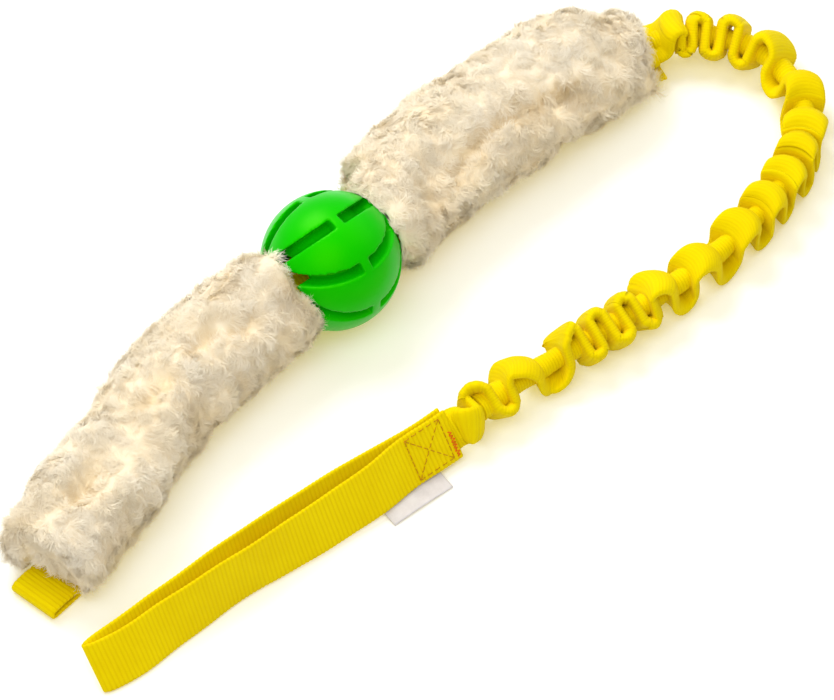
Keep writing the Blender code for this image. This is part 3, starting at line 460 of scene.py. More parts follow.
RUBBER = rubber()
# groove: how far the grooves between the ribs are darkened with painted shade
YELLOW = webbing("yellow_webbing_look", (246, 222, 3), (239, 210, 1), groove=0.42)
FINE_YELLOW = webbing("fine_webbing_look", (246, 223, 3), (239, 211, 1), groove=0.28)
WOOL = wool("wool_look", (254, 247, 231), (252, 242, 219), (247, 232, 200))
# painted shade: the skin under the strands is coloured darker than the strands
WOOL_SKIN = wool("wool_skin_look", (250, 241, 221), (247, 234, 207), (240, 222, 186))
SUEDE = suede()
ELASTIC = elastic()
OCHRE_THREAD = sewing_thread("ochre_thread_look", (216, 158, 0), (186, 124, 0))
ORANGE_THREAD = sewing_thread("orange_thread_look", (246, 136, 10), (232, 84, 10))
PALE_THREAD = sewing_thread("pale_thread_look", (226, 218, 198), (200, 190, 166))
LABEL = label_cloth()


# Shapes


def distance_along(points):
    return np.concatenate([[0], np.cumsum(np.linalg.norm(np.diff(points, axis=0), axis=1))])


def at_distance(values, run, at):
    """The rows of values at distances along their route."""
    return np.column_stack([np.interp(at, run, values[:, k]) for k in range(values.shape[1])])


def through(stations, step):
    """Rows spaced about a step apart on a smooth curve through the stations."""
    rows = np.array(stations, float)
    padded = np.vstack([2 * rows[0] - rows[1], rows, 2 * rows[-1] - rows[-2]])
    fine = []
    for i in range(len(rows) - 1):
        a, b, c, d = padded[i : i + 4]
        for t in np.linspace(0, 1, 40, endpoint=False):
            curve = 2 * b + (c - a) * t + (2 * a - 5 * b + 4 * c - d) * t**2
            fine.append(0.5 * (curve + (3 * b - 3 * c + d - a) * t**3))
    fine.append(rows[-1])
    fine = np.array(fine)
    run = distance_along(fine[:, :3])
    count = max(2, int(round(run[-1] / step)) + 1)
    return at_distance(fine, run, np.linspace(0, run[-1], count))


def unit(vectors):
    return vectors / np.linalg.norm(vectors, axis=-1, keepdims=True)


def square_to(ways, ahead):
    """Ways turned square to the way ahead at each point."""
    return unit(ways - ahead * np.sum(ways * ahead, axis=1)[:, None])


def sides_along(points):
    """At each point of a line, the level way across it and the way square to both."""
    ahead = unit(np.gradient(points, axis=0))
    side = unit(np.cross([0, 0, 1], ahead))
    return side, np.cross(ahead, side)


def ripple(points, size, seed):
    """Smooth noise near -1 to 1, with lumps about as large as size."""
    rng = np.random.default_rng(seed)
    waves = unit(rng.normal(size=(9, 3))) * (math.pi / size) * rng.uniform(0.6, 1.4, (9, 1))
    phases = rng.uniform(0, 2 * math.pi, 9)
    return np.sin(points @ waves.T + phases).sum(axis=1) / 3.2


def mesh_from(name, points, corners, sizes, uvs=None, material=None, body=None, slot=None):
    """A mesh object from arrays: corners are vertex numbers, sizes the corners of each face."""
    mesh = bpy.data.meshes.new(name)
    mesh.vertices.add(len(points))
    mesh.vertices.foreach_set("co", np.asarray(points, np.float32).ravel())
    mesh.loops.add(len(corners))
    mesh.loops.foreach_set("vertex_index", np.asarray(corners, np.int32))
    mesh.polygons.add(len(sizes))
    starts = np.concatenate([[0], np.cumsum(sizes)[:-1]])
    mesh.polygons.foreach_set("loop_start", starts.astype(np.int32))
    mesh.polygons.foreach_set("loop_total", np.asarray(sizes, np.int32))
    mesh.update(calc_edges=True)
    if uvs is not None:
        layer = mesh.uv_layers.new(name="UVMap")
        layer.data.foreach_set("uv", np.asarray(uvs, np.float32).ravel())
    mesh.shade_smooth()
    obj = bpy.data.objects.new(name, mesh)
    bpy.context.scene.collection.objects.link(obj)
    if material is not None:
        mesh.materials.append(material)
    if body is not None:
        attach(obj, body)
    return obj


def smoothed(obj, factor, passes, voxel=None):
    """Smooths an object's mesh, after an even remesh where a voxel is given."""
    if voxel is not None:
        remesh = obj.modifiers.new("remesh", "REMESH")
        remesh.mode = "VOXEL"
        remesh.voxel_size = voxel
    smooth = obj.modifiers.new("smooth", "SMOOTH")
    smooth.factor = factor
    smooth.iterations = passes
    evaluated = obj.evaluated_get(bpy.context.evaluated_depsgraph_get())
    mesh = bpy.data.meshes.new_from_object(evaluated)
    old = obj.data
    obj.modifiers.clear()
    obj.data = mesh
    bpy.data.meshes.remove(old)


# Steps along and round a tube's skin to the four corners of a face
FACE_STEPS = ((0, 0), (0, 1), (1, 1), (1, 0))


def tube_faces(rows, around):
    """Corners and sizes of a tube's faces, ring by ring, with both ends capped."""
    i, k = np.meshgrid(np.arange(rows - 1), np.arange(around), indexing="ij")
    quads = np.stack([(i + a) * around + (k + b) % around for a, b in FACE_STEPS], -1)
    first = np.arange(around)[::-1]
    last = np.arange(around) + (rows - 1) * around
    return np.concatenate([quads.ravel(), first, last]), [4] * i.size + [around] * 2


def swept(name, rings, **look):
    """A closed skin through rings of points, all of the same count, with both ends capped.
    UVs are metres along and metres round."""
    rings = np.asarray(rings)
    rows, around = rings.shape[:2]
    along = distance_along(rings.mean(axis=1))
    middle = rings[rows // 2]
    girth = distance_along(np.vstack([middle, middle[:1]]))
    i, k = np.meshgrid(np.arange(rows - 1), np.arange(around), indexing="ij")
    places = np.stack([np.stack([along[i + a], girth[k + b]], -1) for a, b in FACE_STEPS], axis=2)
    ends = np.zeros((2 * around, 2))
    ends[:around, 1] = girth[:-1][::-1]
    ends[around:, 1] = girth[:-1]
    ends[around:, 0] = along[-1]
    uvs = np.concatenate([places.reshape(-1, 2), ends])
    return mesh_from(name, rings.reshape(-1, 3), *tube_faces(rows, around), uvs, **look)


def round_rings(line, side, over, radius, around):
    """Rings round a line, from the two ways across it and a radius for all of it or for each point."""
    angles = np.linspace(0, 2 * math.pi, around, endpoint=False)
    spokes = side[:, None] * np.cos(angles)[None, :, None] + over[:, None] * np.sin(angles)[None, :, None]
    return line[:, None] + np.reshape(radius, (-1, 1, 1)) * spokes


def band_section(width, thickness, across):
    """Points round a flat band with round edges, as across and up."""
    half = width / 2 - thickness / 2
    line = np.linspace(-half, half, across)
    turn = np.radians([45, 0, -45])
    right = [(half + thickness / 2 * math.cos(a), thickness / 2 * math.sin(a)) for a in turn]
    top = [(x, thickness / 2) for x in line]
    bottom = [(x, -thickness / 2) for x in line[::-1]]
    left = [(-x, -z) for x, z in right]
    return np.array(top + right + bottom + left)


def ribs(run, pitch):
    """The height of round ribs, 0 in the grooves and 1 on the ribs."""
    return np.abs(np.sin(math.pi * run / pitch)) ** 0.7


def mark(obj, name, values):
    """A number on each of an object's points, for its material."""
    layer = obj.data.attributes.new(name, "FLOAT", "POINT")
    layer.data.foreach_set("value", np.asarray(values, np.float32))


def webbing_band(
    name, centre, way, width=WEBBING_WIDTH, thickness=WEBBING_THICKNESS, across=20, upright=False, **look
):
    """A ribbed band: centre points, the way across it, and its size. Its edges are notched by the ribs.
    An upright band keeps its way across; others have it squared to their run."""
    rib = ribs(distance_along(centre), RIB_PITCH)
    ahead = unit(np.gradient(centre, axis=0))
    if not upright:
        way = square_to(way, ahead)
    up = unit(np.cross(ahead, way))
    section = band_section(width, thickness, across)
    notch = ((rib - 1) * RIB_DEPTH)[:, None]
    at_edge = np.abs(section[:, 0]) > width / 2 - thickness
    aside = section[:, 0] + np.sign(section[:, 0]) * at_edge * notch
    height = section[:, 1] + np.sign(section[:, 1]) * notch
    rings = centre[:, None] + way[:, None] * aside[..., None] + up[:, None] * height[..., None]
    piece = swept(name, rings, material=YELLOW, slot="yellow_webbing", **look)
    # rib heights, from which the material paints shade in the grooves
    mark(piece, "rib", np.repeat(rib, len(section)))
    return piece


def stitch_run(name, line, stitch, material, slot):
    """Stitches on the hand loop, along a line of places and normals: arched threads whose ends go in."""
    places, normals = (np.array(part) for part in zip(*line))
    length, gap, radius = stitch
    run = distance_along(places)
    count = max(1, int(run[-1] / (length + gap)))
    arch = np.sin(np.linspace(0, math.pi, STITCH_RINGS)) ** 0.6
    stitches = []
    for start in np.linspace(0, run[-1] - length, count):
        at = np.linspace(start, start + length, STITCH_RINGS)
        up = unit(at_distance(normals, run, at))
        middle = at_distance(places, run, at) + up * ((arch - 0.45) * radius * 1.9)[:, None]
        ahead = unit(np.gradient(middle, axis=0))
        side = unit(np.cross(up, ahead))
        stitches.append(round_rings(middle, side, np.cross(ahead, side), radius, STITCH_SIDES).reshape(-1, 3))
    corners, sizes = tube_faces(STITCH_RINGS, STITCH_SIDES)
    corners = np.concatenate([corners + n * STITCH_RINGS * STITCH_SIDES for n in range(count)])
    look = {"material": material, "body": "handle", "slot": slot}
    return mesh_from(name, np.concatenate(stitches), corners, sizes * count, **look)


# Ball


def surface_of(field, corner, step):
    """Points and four-cornered faces of the surface where a sampled field is zero; inside is below zero.
    Each cell that the surface crosses gets one point, in the middle of its edges' crossings."""
    cells = tuple(n - 1 for n in field.shape)
    total, count = np.zeros(cells + (3,)), np.zeros(cells)
    crossings = []
    for axis, first, second in ((0, 1, 2), (1, 2, 0), (2, 0, 1)):
        turned = np.transpose(field, (axis, first, second))
        before, after = turned[:-1], turned[1:]
        cross = (before < 0) != (after < 0)
        share = np.where(cross, before / np.where(cross, before - after, 1), 0)
        home = np.transpose(total, (axis, first, second, 3))
        number = np.transpose(count, (axis, first, second))
        for i, j in ((0, 0), (0, 1), (1, 0), (1, 1)):
            part = np.s_[:, i : cross.shape[1] - 1 + i, j : cross.shape[2] - 1 + j]
            home[..., axis] += share[part]
            home[..., first] += i * cross[part]
            home[..., second] += j * cross[part]
            number += cross[part]
        crossings.append(((axis, first, second), np.argwhere(cross), (before < 0)[cross]))
    used = np.argwhere(count > 0)
    place = tuple(used.T)
    index = np.full(cells, -1)
    index[place] = np.arange(len(used))
    points = corner + step * (used + total[place] / count[place][:, None])
    faces = []
    for order, edges, outward in crossings:
        ring = []
        for i, j in ((-1, -1), (0, -1), (0, 0), (-1, 0)):
            cell = np.empty_like(edges)
            cell[:, order] = edges + (0, i, j)
            ring.append(index[tuple(cell.T)])
        ring = np.stack(ring, axis=1)
        faces.append(np.where(outward[:, None], ring, ring[:, ::-1]))
    return points, np.concatenate(faces)


def make_ball():
    """The ball as a field of distances, then smoothed for soft, moulded edges."""
    half = BALL_RADIUS + 3 * BALL_VOXEL
    steps = np.arange(-half, half + BALL_VOXEL, BALL_VOXEL)
    x, y, z = np.meshgrid(steps, steps, steps, indexing="ij")
    from_centre, from_axis = np.sqrt(x**2 + y**2 + z**2), np.hypot(y, z)
    field = np.maximum(from_centre - BALL_RADIUS, BALL_BORE_RADIUS - from_axis)
    field = np.maximum(field, -BALL_CENTRE.z - z)
    lead = math.degrees(math.asin(SLOT_OFFSET / BALL_RADIUS))
    for side, (low, high) in SLOT_ENDS.items():
        along = np.maximum(np.abs(x - (low + high) / 2) - (high - low) / 2, SLOT_FLOOR_RADIUS - from_centre)
        if side > 0:
            along = np.maximum(along, SLOT_END_FLOOR_RADIUS - from_axis)
        for k in range(SLOT_COUNT):
            angle = math.radians(SLOT_START_DEG + k * 360 / SLOT_COUNT - lead)
            out = y * math.sin(angle) + z * math.cos(angle)
            beside = y * math.cos(angle) - z * math.sin(angle) - SLOT_OFFSET
            slot = np.maximum(np.maximum(-out, np.abs(beside) - SLOT_WIDTH / 2), along)
            field = np.maximum(field, -slot)
    points, faces = surface_of(field, np.array(BALL_CENTRE) - half, BALL_VOXEL)
    ball = mesh_from("ball_skin", points, faces.ravel(), np.full(len(faces), 4), material=RUBBER)
    smoothed(ball, factor=0.5, passes=5)
    ball.data.shade_smooth()
    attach(ball, "ball")
    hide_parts("ball")


# Wool


def mesh_arrays(mesh):
    """Points and normals."""
    points = np.empty(len(mesh.vertices) * 3, np.float32)
    mesh.vertices.foreach_get("co", points)
    normals = np.empty(len(mesh.vertices) * 3, np.float32)
    mesh.vertices.foreach_get("normal", normals)
    return points.reshape(-1, 3).astype(float), normals.reshape(-1, 3).astype(float)


def move_points(mesh, points):
    mesh.vertices.foreach_set("co", points.astype(np.float32).ravel())
    mesh.update()


def facing_out(points, normals, route):
    """How squarely each normal points away from a route: 1 out, -1 in."""
    nearest = np.empty_like(points)
    at_once = 20000
    for start in range(0, len(points), at_once):
        part = points[start : start + at_once]
        which = np.linalg.norm(part[:, None] - route[None], axis=2).argmin(axis=1)
        nearest[start : start + at_once] = route[which]
    return np.sum(unit(points - nearest + 1e-9) * normals, axis=1)


def groove(points, path, half_width):
    """1 on a path over the wool, seen from above, falling to 0 beside it."""
    line = through([(*place, 0.0) for place in path], 0.002)[:, :2]
    away = np.min(np.linalg.norm(points[:, None, :2] - line[None], axis=2), axis=1)
    return np.exp(-((away / half_width) ** 2)) * (points[:, 2] > GROOVE_LOWEST_Z)


def pressed(points, normals, dents):
    """Points moved in at dents: place, radius and depth."""
    moved = points.copy()
    for place, radius, depth in dents:
        away = np.linalg.norm(points - np.array(place), axis=1)
        moved -= normals * (depth * np.exp(-((away / radius) ** 2)))[:, None]
    return moved


def ball_end(points, side, ends):
    """Rounds the wool off where it meets the ball: ends are rows of place around it and distance in x."""
    centre = np.array(BALL_CENTRE)
    around = (points[:, 1] + AROUND_LEAN * (points[:, 2] - centre[2])) / AROUND_UNIT
    end = np.interp(around, *np.transpose(ends))
    x = side * points[:, 0]
    arm = points[:, 1:] - centre[1:]
    radius = np.linalg.norm(arm, axis=1) + 1e-9
    at_ball = np.sqrt((BALL_RADIUS + 0.0012) ** 2 - end**2)
    shoulder = np.clip((end + SHOULDER - x) / SHOULDER, 0, 1)
    widest = at_ball + (SHOULDER_RADIUS - at_ball) * np.sqrt(1 - shoulder**2)
    limited = np.minimum(radius, np.where(x < end + SHOULDER, widest, radius))
    moved = points.copy()
    moved[:, 1:] = centre[1:] + arm * (limited / radius)[:, None]
    moved[:, 0] = side * np.maximum(x, end)
    return moved


def make_fleece(name, node, body, route, seed, side, shape):
    """The lumpy skin under the strands. Returns its mesh, how squarely its points face out, and how
    low they lie in the wool."""
    fleece = bpy.data.objects.new(name, NODES[node].data.copy())
    bpy.context.scene.collection.objects.link(fleece)
    smoothed(fleece, factor=0.6, passes=6, voxel=0.0016)
    points, normals = mesh_arrays(fleece.data)
    outer = facing_out(points, normals, route) > 0.0
    points = np.where(outer[:, None], pressed(points, normals, shape["dents"]), points)
    points = ball_end(points, side, shape["ball"])
    beyond = side * points[:, 0] - (shape["end"] + END_SLANT * points[:, 1])
    points[:, 0] -= side * np.maximum(beyond, 0) * 0.85
    move_points(fleece.data, points)
    smoothed(fleece, factor=0.5, passes=4, voxel=0.0014)

    points, normals = mesh_arrays(fleece.data)
    facing = facing_out(points, normals, route)
    lump = sum(share * ripple(points, size, seed + k) for k, (share, size) in enumerate(WOOL_LUMPS))
    low = np.zeros(len(points))
    for path, half_width, depth in shape["grooves"]:
        low = np.maximum(low, groove(points, path, half_width) * depth / GROOVE_FULL)
    depth = np.where(facing > 0.0, PILE_DEPTH - LUMP_HEIGHT * lump + GROOVE_DEPTH * low, LINING_DEPTH)
    points = points - normals * depth[:, None]
    points[:, 2] = np.maximum(points[:, 2], 0.0012)
    move_points(fleece.data, points)
    fleece.data.materials.clear()
    fleece.data.materials.append(WOOL_SKIN)
    fleece.data.shade_smooth()
    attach(fleece, body)
    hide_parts(node)
    # How low each point lies, in the grooves and where the lumps are low. The wool's material paints shade
    # there, a tan.
    low = np.clip(0.9 * low + 0.22 * np.clip(0.3 - lump, 0, 1), 0, 1)
    # The skin counts as partway along the strands, so it gets part of the painted root shade.
    mark(fleece, "tip", np.full(len(points), 0.4))
    mark(fleece, "low", low)
    return fleece.data, facing, low


def strand_lines(rng, skin, normals, usable, seed):
    """The strands' middle lines, and the skin's points that they grow from. Each joins its nearest lock."""
    chosen = rng.choice(usable, LOCKS_PER_SLEEVE, replace=False)
    centre, up = skin[chosen], normals[chosen]
    drift = np.stack([ripple(centre, 0.016, seed + 10 + k) for k in range(3)], -1)
    flat = square_to(drift + rng.normal(0, 0.45, centre.shape), up)
    length = rng.uniform(*LOCK_LENGTHS, LOCKS_PER_SLEEVE)
    rise = rng.uniform(*LOCK_RISES, LOCKS_PER_SLEEVE)
    curl = rng.normal(0, LOCK_CURL, LOCKS_PER_SLEEVE)
    tree = KDTree(LOCKS_PER_SLEEVE)
    for k, place in enumerate(centre):
        tree.insert(place, k)
    tree.balance()

    total = WOOL_PIECES * STRANDS_PER_PIECE
    rooted = rng.choice(usable, total)
    above = normals[rooted]
    root = skin[rooted] + rng.normal(0, 0.0007, (total, 3)) - above * 0.0010
    owner = np.array([tree.find(place)[1] for place in root])
    reach = length[owner] * rng.uniform(*STRAND_LENGTHS, total)
    height = rise[owner] * rng.uniform(*STRAND_RISES, total)
    height[rng.random(total) < STRAY_SHARE] *= 1.6
    own = square_to(flat[owner] + rng.normal(0, 0.28, (total, 3)), above)
    across = np.cross(above, own)
    bend = curl[owner] + rng.normal(0, 0.4, total)
    frizz = rng.normal(0, STRAND_FRIZZ, (len(STRAND_LEVELS) - 1, total, 3))
    levels = []
    for n, t in enumerate(STRAND_LEVELS):
        turn = bend * t
        forward = own * (reach * t * np.cos(turn))[:, None] + across * (reach * t * np.sin(turn))[:, None]
        lift = above * (height * (1 - (1 - t) ** 2))[:, None]
        pull = LOCK_GATHER * t**1.3
        place = root + (centre[owner] - root) * pull + forward + lift
        levels.append(place + frizz[n - 1] if n else place)
    lines = np.stack(levels, axis=1)
    lines[..., 2] = np.maximum(lines[..., 2], 0.0004)
    away = lines - np.array(BALL_CENTRE)
    distance = np.linalg.norm(away, axis=-1, keepdims=True)
    closest = BALL_RADIUS + STRAND_BALL_ROOM
    return np.where(distance < closest, np.array(BALL_CENTRE) + away / distance * closest, lines), rooted


def ribbon_mesh(name, lines, width, facing, low, body):
    """Flat tapered strands. lines is strands by levels by 3; the last level is the tip.
    facing is the way that each strand's flat side looks, and low is how low it lies in the wool."""
    count, levels = lines.shape[:2]
    ahead = unit(np.gradient(lines, axis=1))
    side = unit(np.cross(facing[:, None], ahead))
    rows = levels - 1
    taper = 1 - 0.5 * np.linspace(0, 1, rows) ** 2
    half = side[:, :rows] * (width[:, None, None] * taper[None, :, None] / 2)
    pairs = np.stack([lines[:, :rows] - half, lines[:, :rows] + half], axis=2).reshape(count, -1, 3)
    points = np.concatenate([pairs, lines[:, -1:]], axis=1)
    each = points.shape[1]
    faces = [[2 * k, 2 * k + 2, 2 * k + 3, 2 * k + 1] for k in range(rows - 1)]
    faces.append([each - 3, each - 1, each - 2])
    pattern = np.concatenate(faces)
    corners = (np.arange(count)[:, None] * each + pattern[None]).ravel()
    face_sizes = np.tile([len(face) for face in faces], count)
    grid = int(math.ceil(math.sqrt(count)))
    cell = np.stack([np.arange(count) % grid, np.arange(count) // grid], -1) / grid
    level_of = np.append(np.repeat(np.arange(rows), 2), rows) / rows
    side_of = np.append(np.tile([0.15, 0.85], rows), 0.5)
    inner = np.stack([side_of[pattern], 0.1 + 0.8 * level_of[pattern]], -1)
    uvs = (cell[:, None] + inner[None] / grid).reshape(-1, 2)
    obj = mesh_from(name, points.reshape(-1, 3), corners, face_sizes, uvs, WOOL, body, "sheep_wool")
    obj.data.uv_layers[0].name = "OFBake"
    # tip and low set the wool's painted shade: darker towards the roots and where the wool lies low
    mark(obj, "tip", np.tile(level_of, count))
    mark(obj, "low", np.repeat(low, each))


def grow_wool(prefix, node, body, route, seed, side, shape):
    """The fleece of one sleeve: its skin, and strands that gather into curled locks."""
    mesh, facing, low = make_fleece(prefix + "_fleece", node, body, route, seed, side, shape)
    skin, normals = mesh_arrays(mesh)
    from_ball = np.linalg.norm(skin - np.array(BALL_CENTRE), axis=1)
    usable = np.flatnonzero((facing > -0.1) & (from_ball > BALL_RADIUS + 0.0015))
    rng = np.random.default_rng(seed)
    lines, rooted = strand_lines(rng, skin, normals, usable, seed)
    total = len(rooted)
    width = rng.uniform(*STRAND_WIDTHS, total)
    facing = unit(normals[rooted] + rng.normal(0, 0.10, (total, 3)))
    order = rng.permutation(total)
    for n in range(WOOL_PIECES):
        part = order[n * STRANDS_PER_PIECE : (n + 1) * STRANDS_PER_PIECE]
        name = f"{prefix}_locks_{n + 1}"
        ribbon_mesh(name, lines[part], width[part], facing[part], low[rooted[part]], body)


# Webbing pieces


def make_strap():
    for name, stations, body in (
        ("far_strap", STRAP_TO_FAR, "far_sleeve"),
        ("near_strap", STRAP_TO_NEAR, "near_sleeve"),
    ):
        centre = through(stations, RIB_PITCH / 6)
        piece = webbing_band(name, centre, sides_along(centre)[0], thickness=STRAP_THICKNESS, across=10)
        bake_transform(piece)
        if name == "far_strap":
            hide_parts("core_strap")


def make_far_loop():
    """The strap's end folded back on itself."""
    straight = LOOP_LENGTH - LOOP_RADIUS - WEBBING_THICKNESS / 2
    places = (-LOOP_INSIDE, straight * 0.5)
    upper = [(x, LOOP_RADIUS * share) for x, share in zip(places, LOOP_UPPER)]
    lower = [(x, -LOOP_RADIUS * share) for x, share in zip(places, LOOP_LOWER)]
    fold = []
    for i in range(8 + 1):
        angle = math.pi / 2 - math.pi * i / 8
        fold.append((straight + LOOP_RADIUS * math.cos(angle), LOOP_RADIUS * math.sin(angle)))
    profile = upper + fold + lower[::-1]
    stations = [LOOP_HINGE + LOOP_DIRECTION * x + Vector((0, 0, z)) for x, z in profile]
    centre = through(stations, RIB_PITCH / 8)
    side = np.tile(np.array(Vector((0, 0, 1)).cross(LOOP_DIRECTION)), (len(centre), 1))
    piece = webbing_band("far_loop_webbing", centre, side, body="far_loop")
    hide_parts("far_loop")


def make_near_tab():
    ahead = unit(np.array(TAB_DIRECTION))
    centre = np.array(TAB_START) + np.linspace(0, TAB_LENGTH, 120)[:, None] * ahead
    side = np.tile(np.cross([0, 0, 1], ahead), (120, 1))
    piece = webbing_band("near_tab_webbing", centre, side, TAB_WIDTH, across=14, body="near_sleeve")
    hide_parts("near_tab")


def make_handle():
    """The hand loop: the near layer, the fold and the far layer in one band."""
    stations = HANDLE_NEAR_LAYER + (HANDLE_FOLD,) + HANDLE_FAR_LAYER
    rows = through(stations, RIB_PITCH / 7)
    lean = np.radians(rows[:, 3])
    up = np.column_stack([np.zeros(len(lean)), np.cos(lean), np.sin(lean)])
    centre = rows[:, :3] + up * HANDLE_WIDTH / 2
    centre[:, 1] += 0.0003 * ripple(centre, 0.012, SEED)
    piece = webbing_band("hand_loop_webbing", centre, up, HANDLE_WIDTH, upright=True, body="handle")
    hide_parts("handle_loop")


def on_handle(x, up_share):
    """A place just over the hand loop's near layer, and the way out from it there."""
    rows = through(HANDLE_NEAR_LAYER, 0.003)[::-1]
    y, z, lean = (np.interp(x, rows[:, 0], rows[:, k]) for k in (1, 2, 3))
    lean = math.radians(lean)
    up = np.array((0, math.cos(lean), math.sin(lean)))
    out = np.array((0, -math.sin(lean), math.cos(lean)))
    place = np.array((x, y, z)) + up * HANDLE_WIDTH * up_share
    return place + out * (WEBBING_THICKNESS / 2 + THREAD_LIFT), out


def make_sewing():
    """The box of stitches with its cross, and the orange tack to its right."""
    corners = np.array([(x, share) for x in (HANDLE_END_X - BOX_SHIFT, SEWN_X) for share in BOX_SHARES[::-1]])
    for n, (first, last) in enumerate(((0, 1), (1, 3), (3, 2), (2, 0), (0, 3), (1, 2))):
        start, end = corners[first], corners[last]
        line = [on_handle(*(start + (end - start) * s)) for s in np.linspace(0, 1, 20)]
        piece = stitch_run(f"box_stitches_{n + 1}", line, BOX_STITCH, OCHRE_THREAD, "yellow_thread")
        if n == 0:
            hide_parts("handle_box_stitches")
    zigzag = []
    rng = np.random.default_rng(SEED + 3)
    for i in range(TACK_TURNS):
        share = TACK_START + TACK_LENGTH * i / (TACK_TURNS - 1) + rng.uniform(-TACK_JITTER, TACK_JITTER)
        aside = rng.uniform(*TACK_REACHES) * (1 if i % 2 else -1)
        zigzag.append(on_handle(HANDLE_END_X - TACK_SHIFT + aside, share))
    piece = stitch_run("orange_tack", zigzag, TACK_STITCH, ORANGE_THREAD, "orange_thread")
    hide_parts("handle_bar_tack")


def make_label():
    """A folded label without print, a little bowed, and the stitches that hold it under the loop's edge."""
    hinge = np.array(LABEL_HINGE)
    places = np.linspace(-LABEL_SEAM_HALF, LABEL_SEAM_HALF, 20)
    seam = [(hinge + (x, *LABEL_SEAM), (0, 0, 1.0)) for x in places]
    stitches = stitch_run("label_seam", seam, LABEL_STITCH, PALE_THREAD, "pale_thread")
    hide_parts("label_stitches")
    rings = []
    for s in np.linspace(0, 1, 40):
        inner = hinge + ((s - 0.5) * LABEL_LENGTH, *LABEL_INNER_EDGE)
        low = LABEL_LOW + LABEL_BOW * math.sin(math.pi * s)
        outer = np.array((inner[0] - LABEL_SKEW, hinge[1] - LABEL_DEPTH, low))
        ring = []
        for way, first, last in ((1, 0, 1), (-1, 1, 0)):
            for t in np.linspace(first, last, 14):
                half = LABEL_HALF_THICKNESS * (1 - 0.25 * t**8)
                ring.append(inner + (outer - inner) * t + np.array((0, 0, way * half)))
        rings.append(ring)
    piece = swept("label_cloth", rings, material=LABEL, body="label", slot="label_cloth")
    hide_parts("label")


# Bungee


def snake(crests):
    """Rows of distance and offset along ruffles with these crests."""
    at = np.array([c[0] for c in crests])
    middles = (at[1:] + at[:-1]) / 2
    before = np.append(at[0] - 0.003, middles)
    after = np.append(middles, at[-1] + 0.003)
    rows = []
    for k, (place, crest) in enumerate(crests):
        offset = abs(crest * RUFFLE_GROWTH)
        height = min(offset, (after[k] - before[k]) / 2)
        for angle in np.radians(CREST_ANGLES_DEG):
            wide = place - before[k] if angle < 0 else after[k] - place
            aside = offset - height + height * math.cos(angle)
            rows.append((place + wide * math.sin(angle), math.copysign(aside, crest)))
    return rows


def sheath_stations(run):
    """Distance, offset and thickness of the gathered webbing, from its cuff to its flat tail."""
    rng = np.random.default_rng(SEED)
    ruffles = [(s, a, SHEATH_THICKNESS * rng.uniform(*THICKNESS_SPREAD)) for s, a in snake(CRESTS)]
    tail = np.linspace(run[-1] - TAIL_LENGTH + 0.003, run[-1], 4)
    stations = [(run[0], 0.0, CUFF_THICKNESS), *CUFF_STATIONS, *ruffles[:-1], *BULGE_STATIONS]
    return stations + [(s, 0.0, TAIL_THICKNESS) for s in tail]


def sheath_rings():
    """Rings of the gathered webbing, each one's distance along the route, and its ribs' heights."""
    route = through((BUNGEE_INSIDE,) + BUNGEE_ROUTE, 0.001)
    run = distance_along(route)
    run -= run[np.linalg.norm(route - np.array(BUNGEE_ROUTE[0]), axis=1).argmin()]
    side, _ = sides_along(route)
    rows = []
    for along, aside, thickness in sheath_stations(run):
        place = at_distance(route, run, [along])[0]
        left = at_distance(side, run, [along])[0]
        angle = math.radians(np.interp(along, *np.transpose(TURNS)))
        wave_way = left * math.cos(angle) + np.array([0, 0, math.sin(angle)])
        width_way = -left * math.sin(angle) + np.array([0, 0, math.cos(angle)])
        bend = np.interp(along, *np.transpose(PETAL_BENDS))
        rows.append(np.concatenate([place + wave_way * aside, width_way, [thickness, bend, along]]))
    fine = through(rows, SHEATH_STEP)
    centre, (thickness, bend, along) = fine[:, :3], fine[:, 6:].T
    heading = at_distance(unit(np.gradient(route, axis=0)), run, along)
    ahead = unit(np.gradient(centre, axis=0))
    width_way = square_to(fine[:, 3:6], ahead)
    up = np.cross(ahead, width_way)
    flat_run = distance_along(centre)
    angles = np.linspace(0, 2 * math.pi, 28, endpoint=False)
    c, s = np.cos(angles), np.sin(angles)
    across = np.sign(c) * np.abs(c) ** 0.75
    height = np.sign(s) * np.abs(s) ** 0.8
    half = SHEATH_WIDTH / 2 * (1 + 0.05 * np.sin(flat_run * 190) + 0.04 * np.sin(flat_run * 83 + 1))
    rib = ribs(flat_run, SHEATH_RIB_PITCH)
    notch = (rib - 1) * SHEATH_RIB_DEPTH
    wide = across[None] * (half + notch)[:, None]
    tall = height[None] * (thickness[:, None] / 2 + notch[:, None])
    rings = centre[:, None] + width_way[:, None] * wide[..., None] + up[:, None] * tall[..., None]
    rings += heading[:, None] * (bend[:, None] * PETAL_BEND * (across[None] ** 2 - 0.35))[..., None]
    rings[..., 2] = np.maximum(rings[..., 2], 0.0002)
    return rings, along, rib


def gathered(name, rings, rib):
    piece = swept(name, rings, material=FINE_YELLOW, slot="yellow_webbing")
    # rib heights, from which the material paints shade in the grooves
    mark(piece, "rib", np.repeat(rib, rings.shape[1]))
    return piece


def make_core():
    """The fine ribbed core that the webbing's middle is drawn into, and the elastic in it."""
    line = through(BUNGEE_ROUTE[:-3], 0.0003)
    line = line[: int(0.995 * len(line))]
    run = distance_along(line)
    rib = ribs(run, CORE_RIB_PITCH)
    swell, swell_start, swell_length = CORE_SWELL
    radius = CORE_RADIUS * (1 + 0.05 * np.sin(run * 310)) + (rib - 1) * CORE_RIB_DEPTH
    radius = radius * (1 + swell * np.clip((run - swell_start) / swell_length, 0, 1))
    gathers = gathered("bungee_core_gathers", round_rings(line, *sides_along(line), radius, 20), rib)
    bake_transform(gathers)
    line = line[::8]
    rings = round_rings(line, *sides_along(line), ELASTIC_RADIUS, 12)
    strand = swept("elastic_strand", rings, material=ELASTIC, slot="elastic_rubber")
    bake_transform(strand)
    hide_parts("elastic_core")
    return gathers, strand


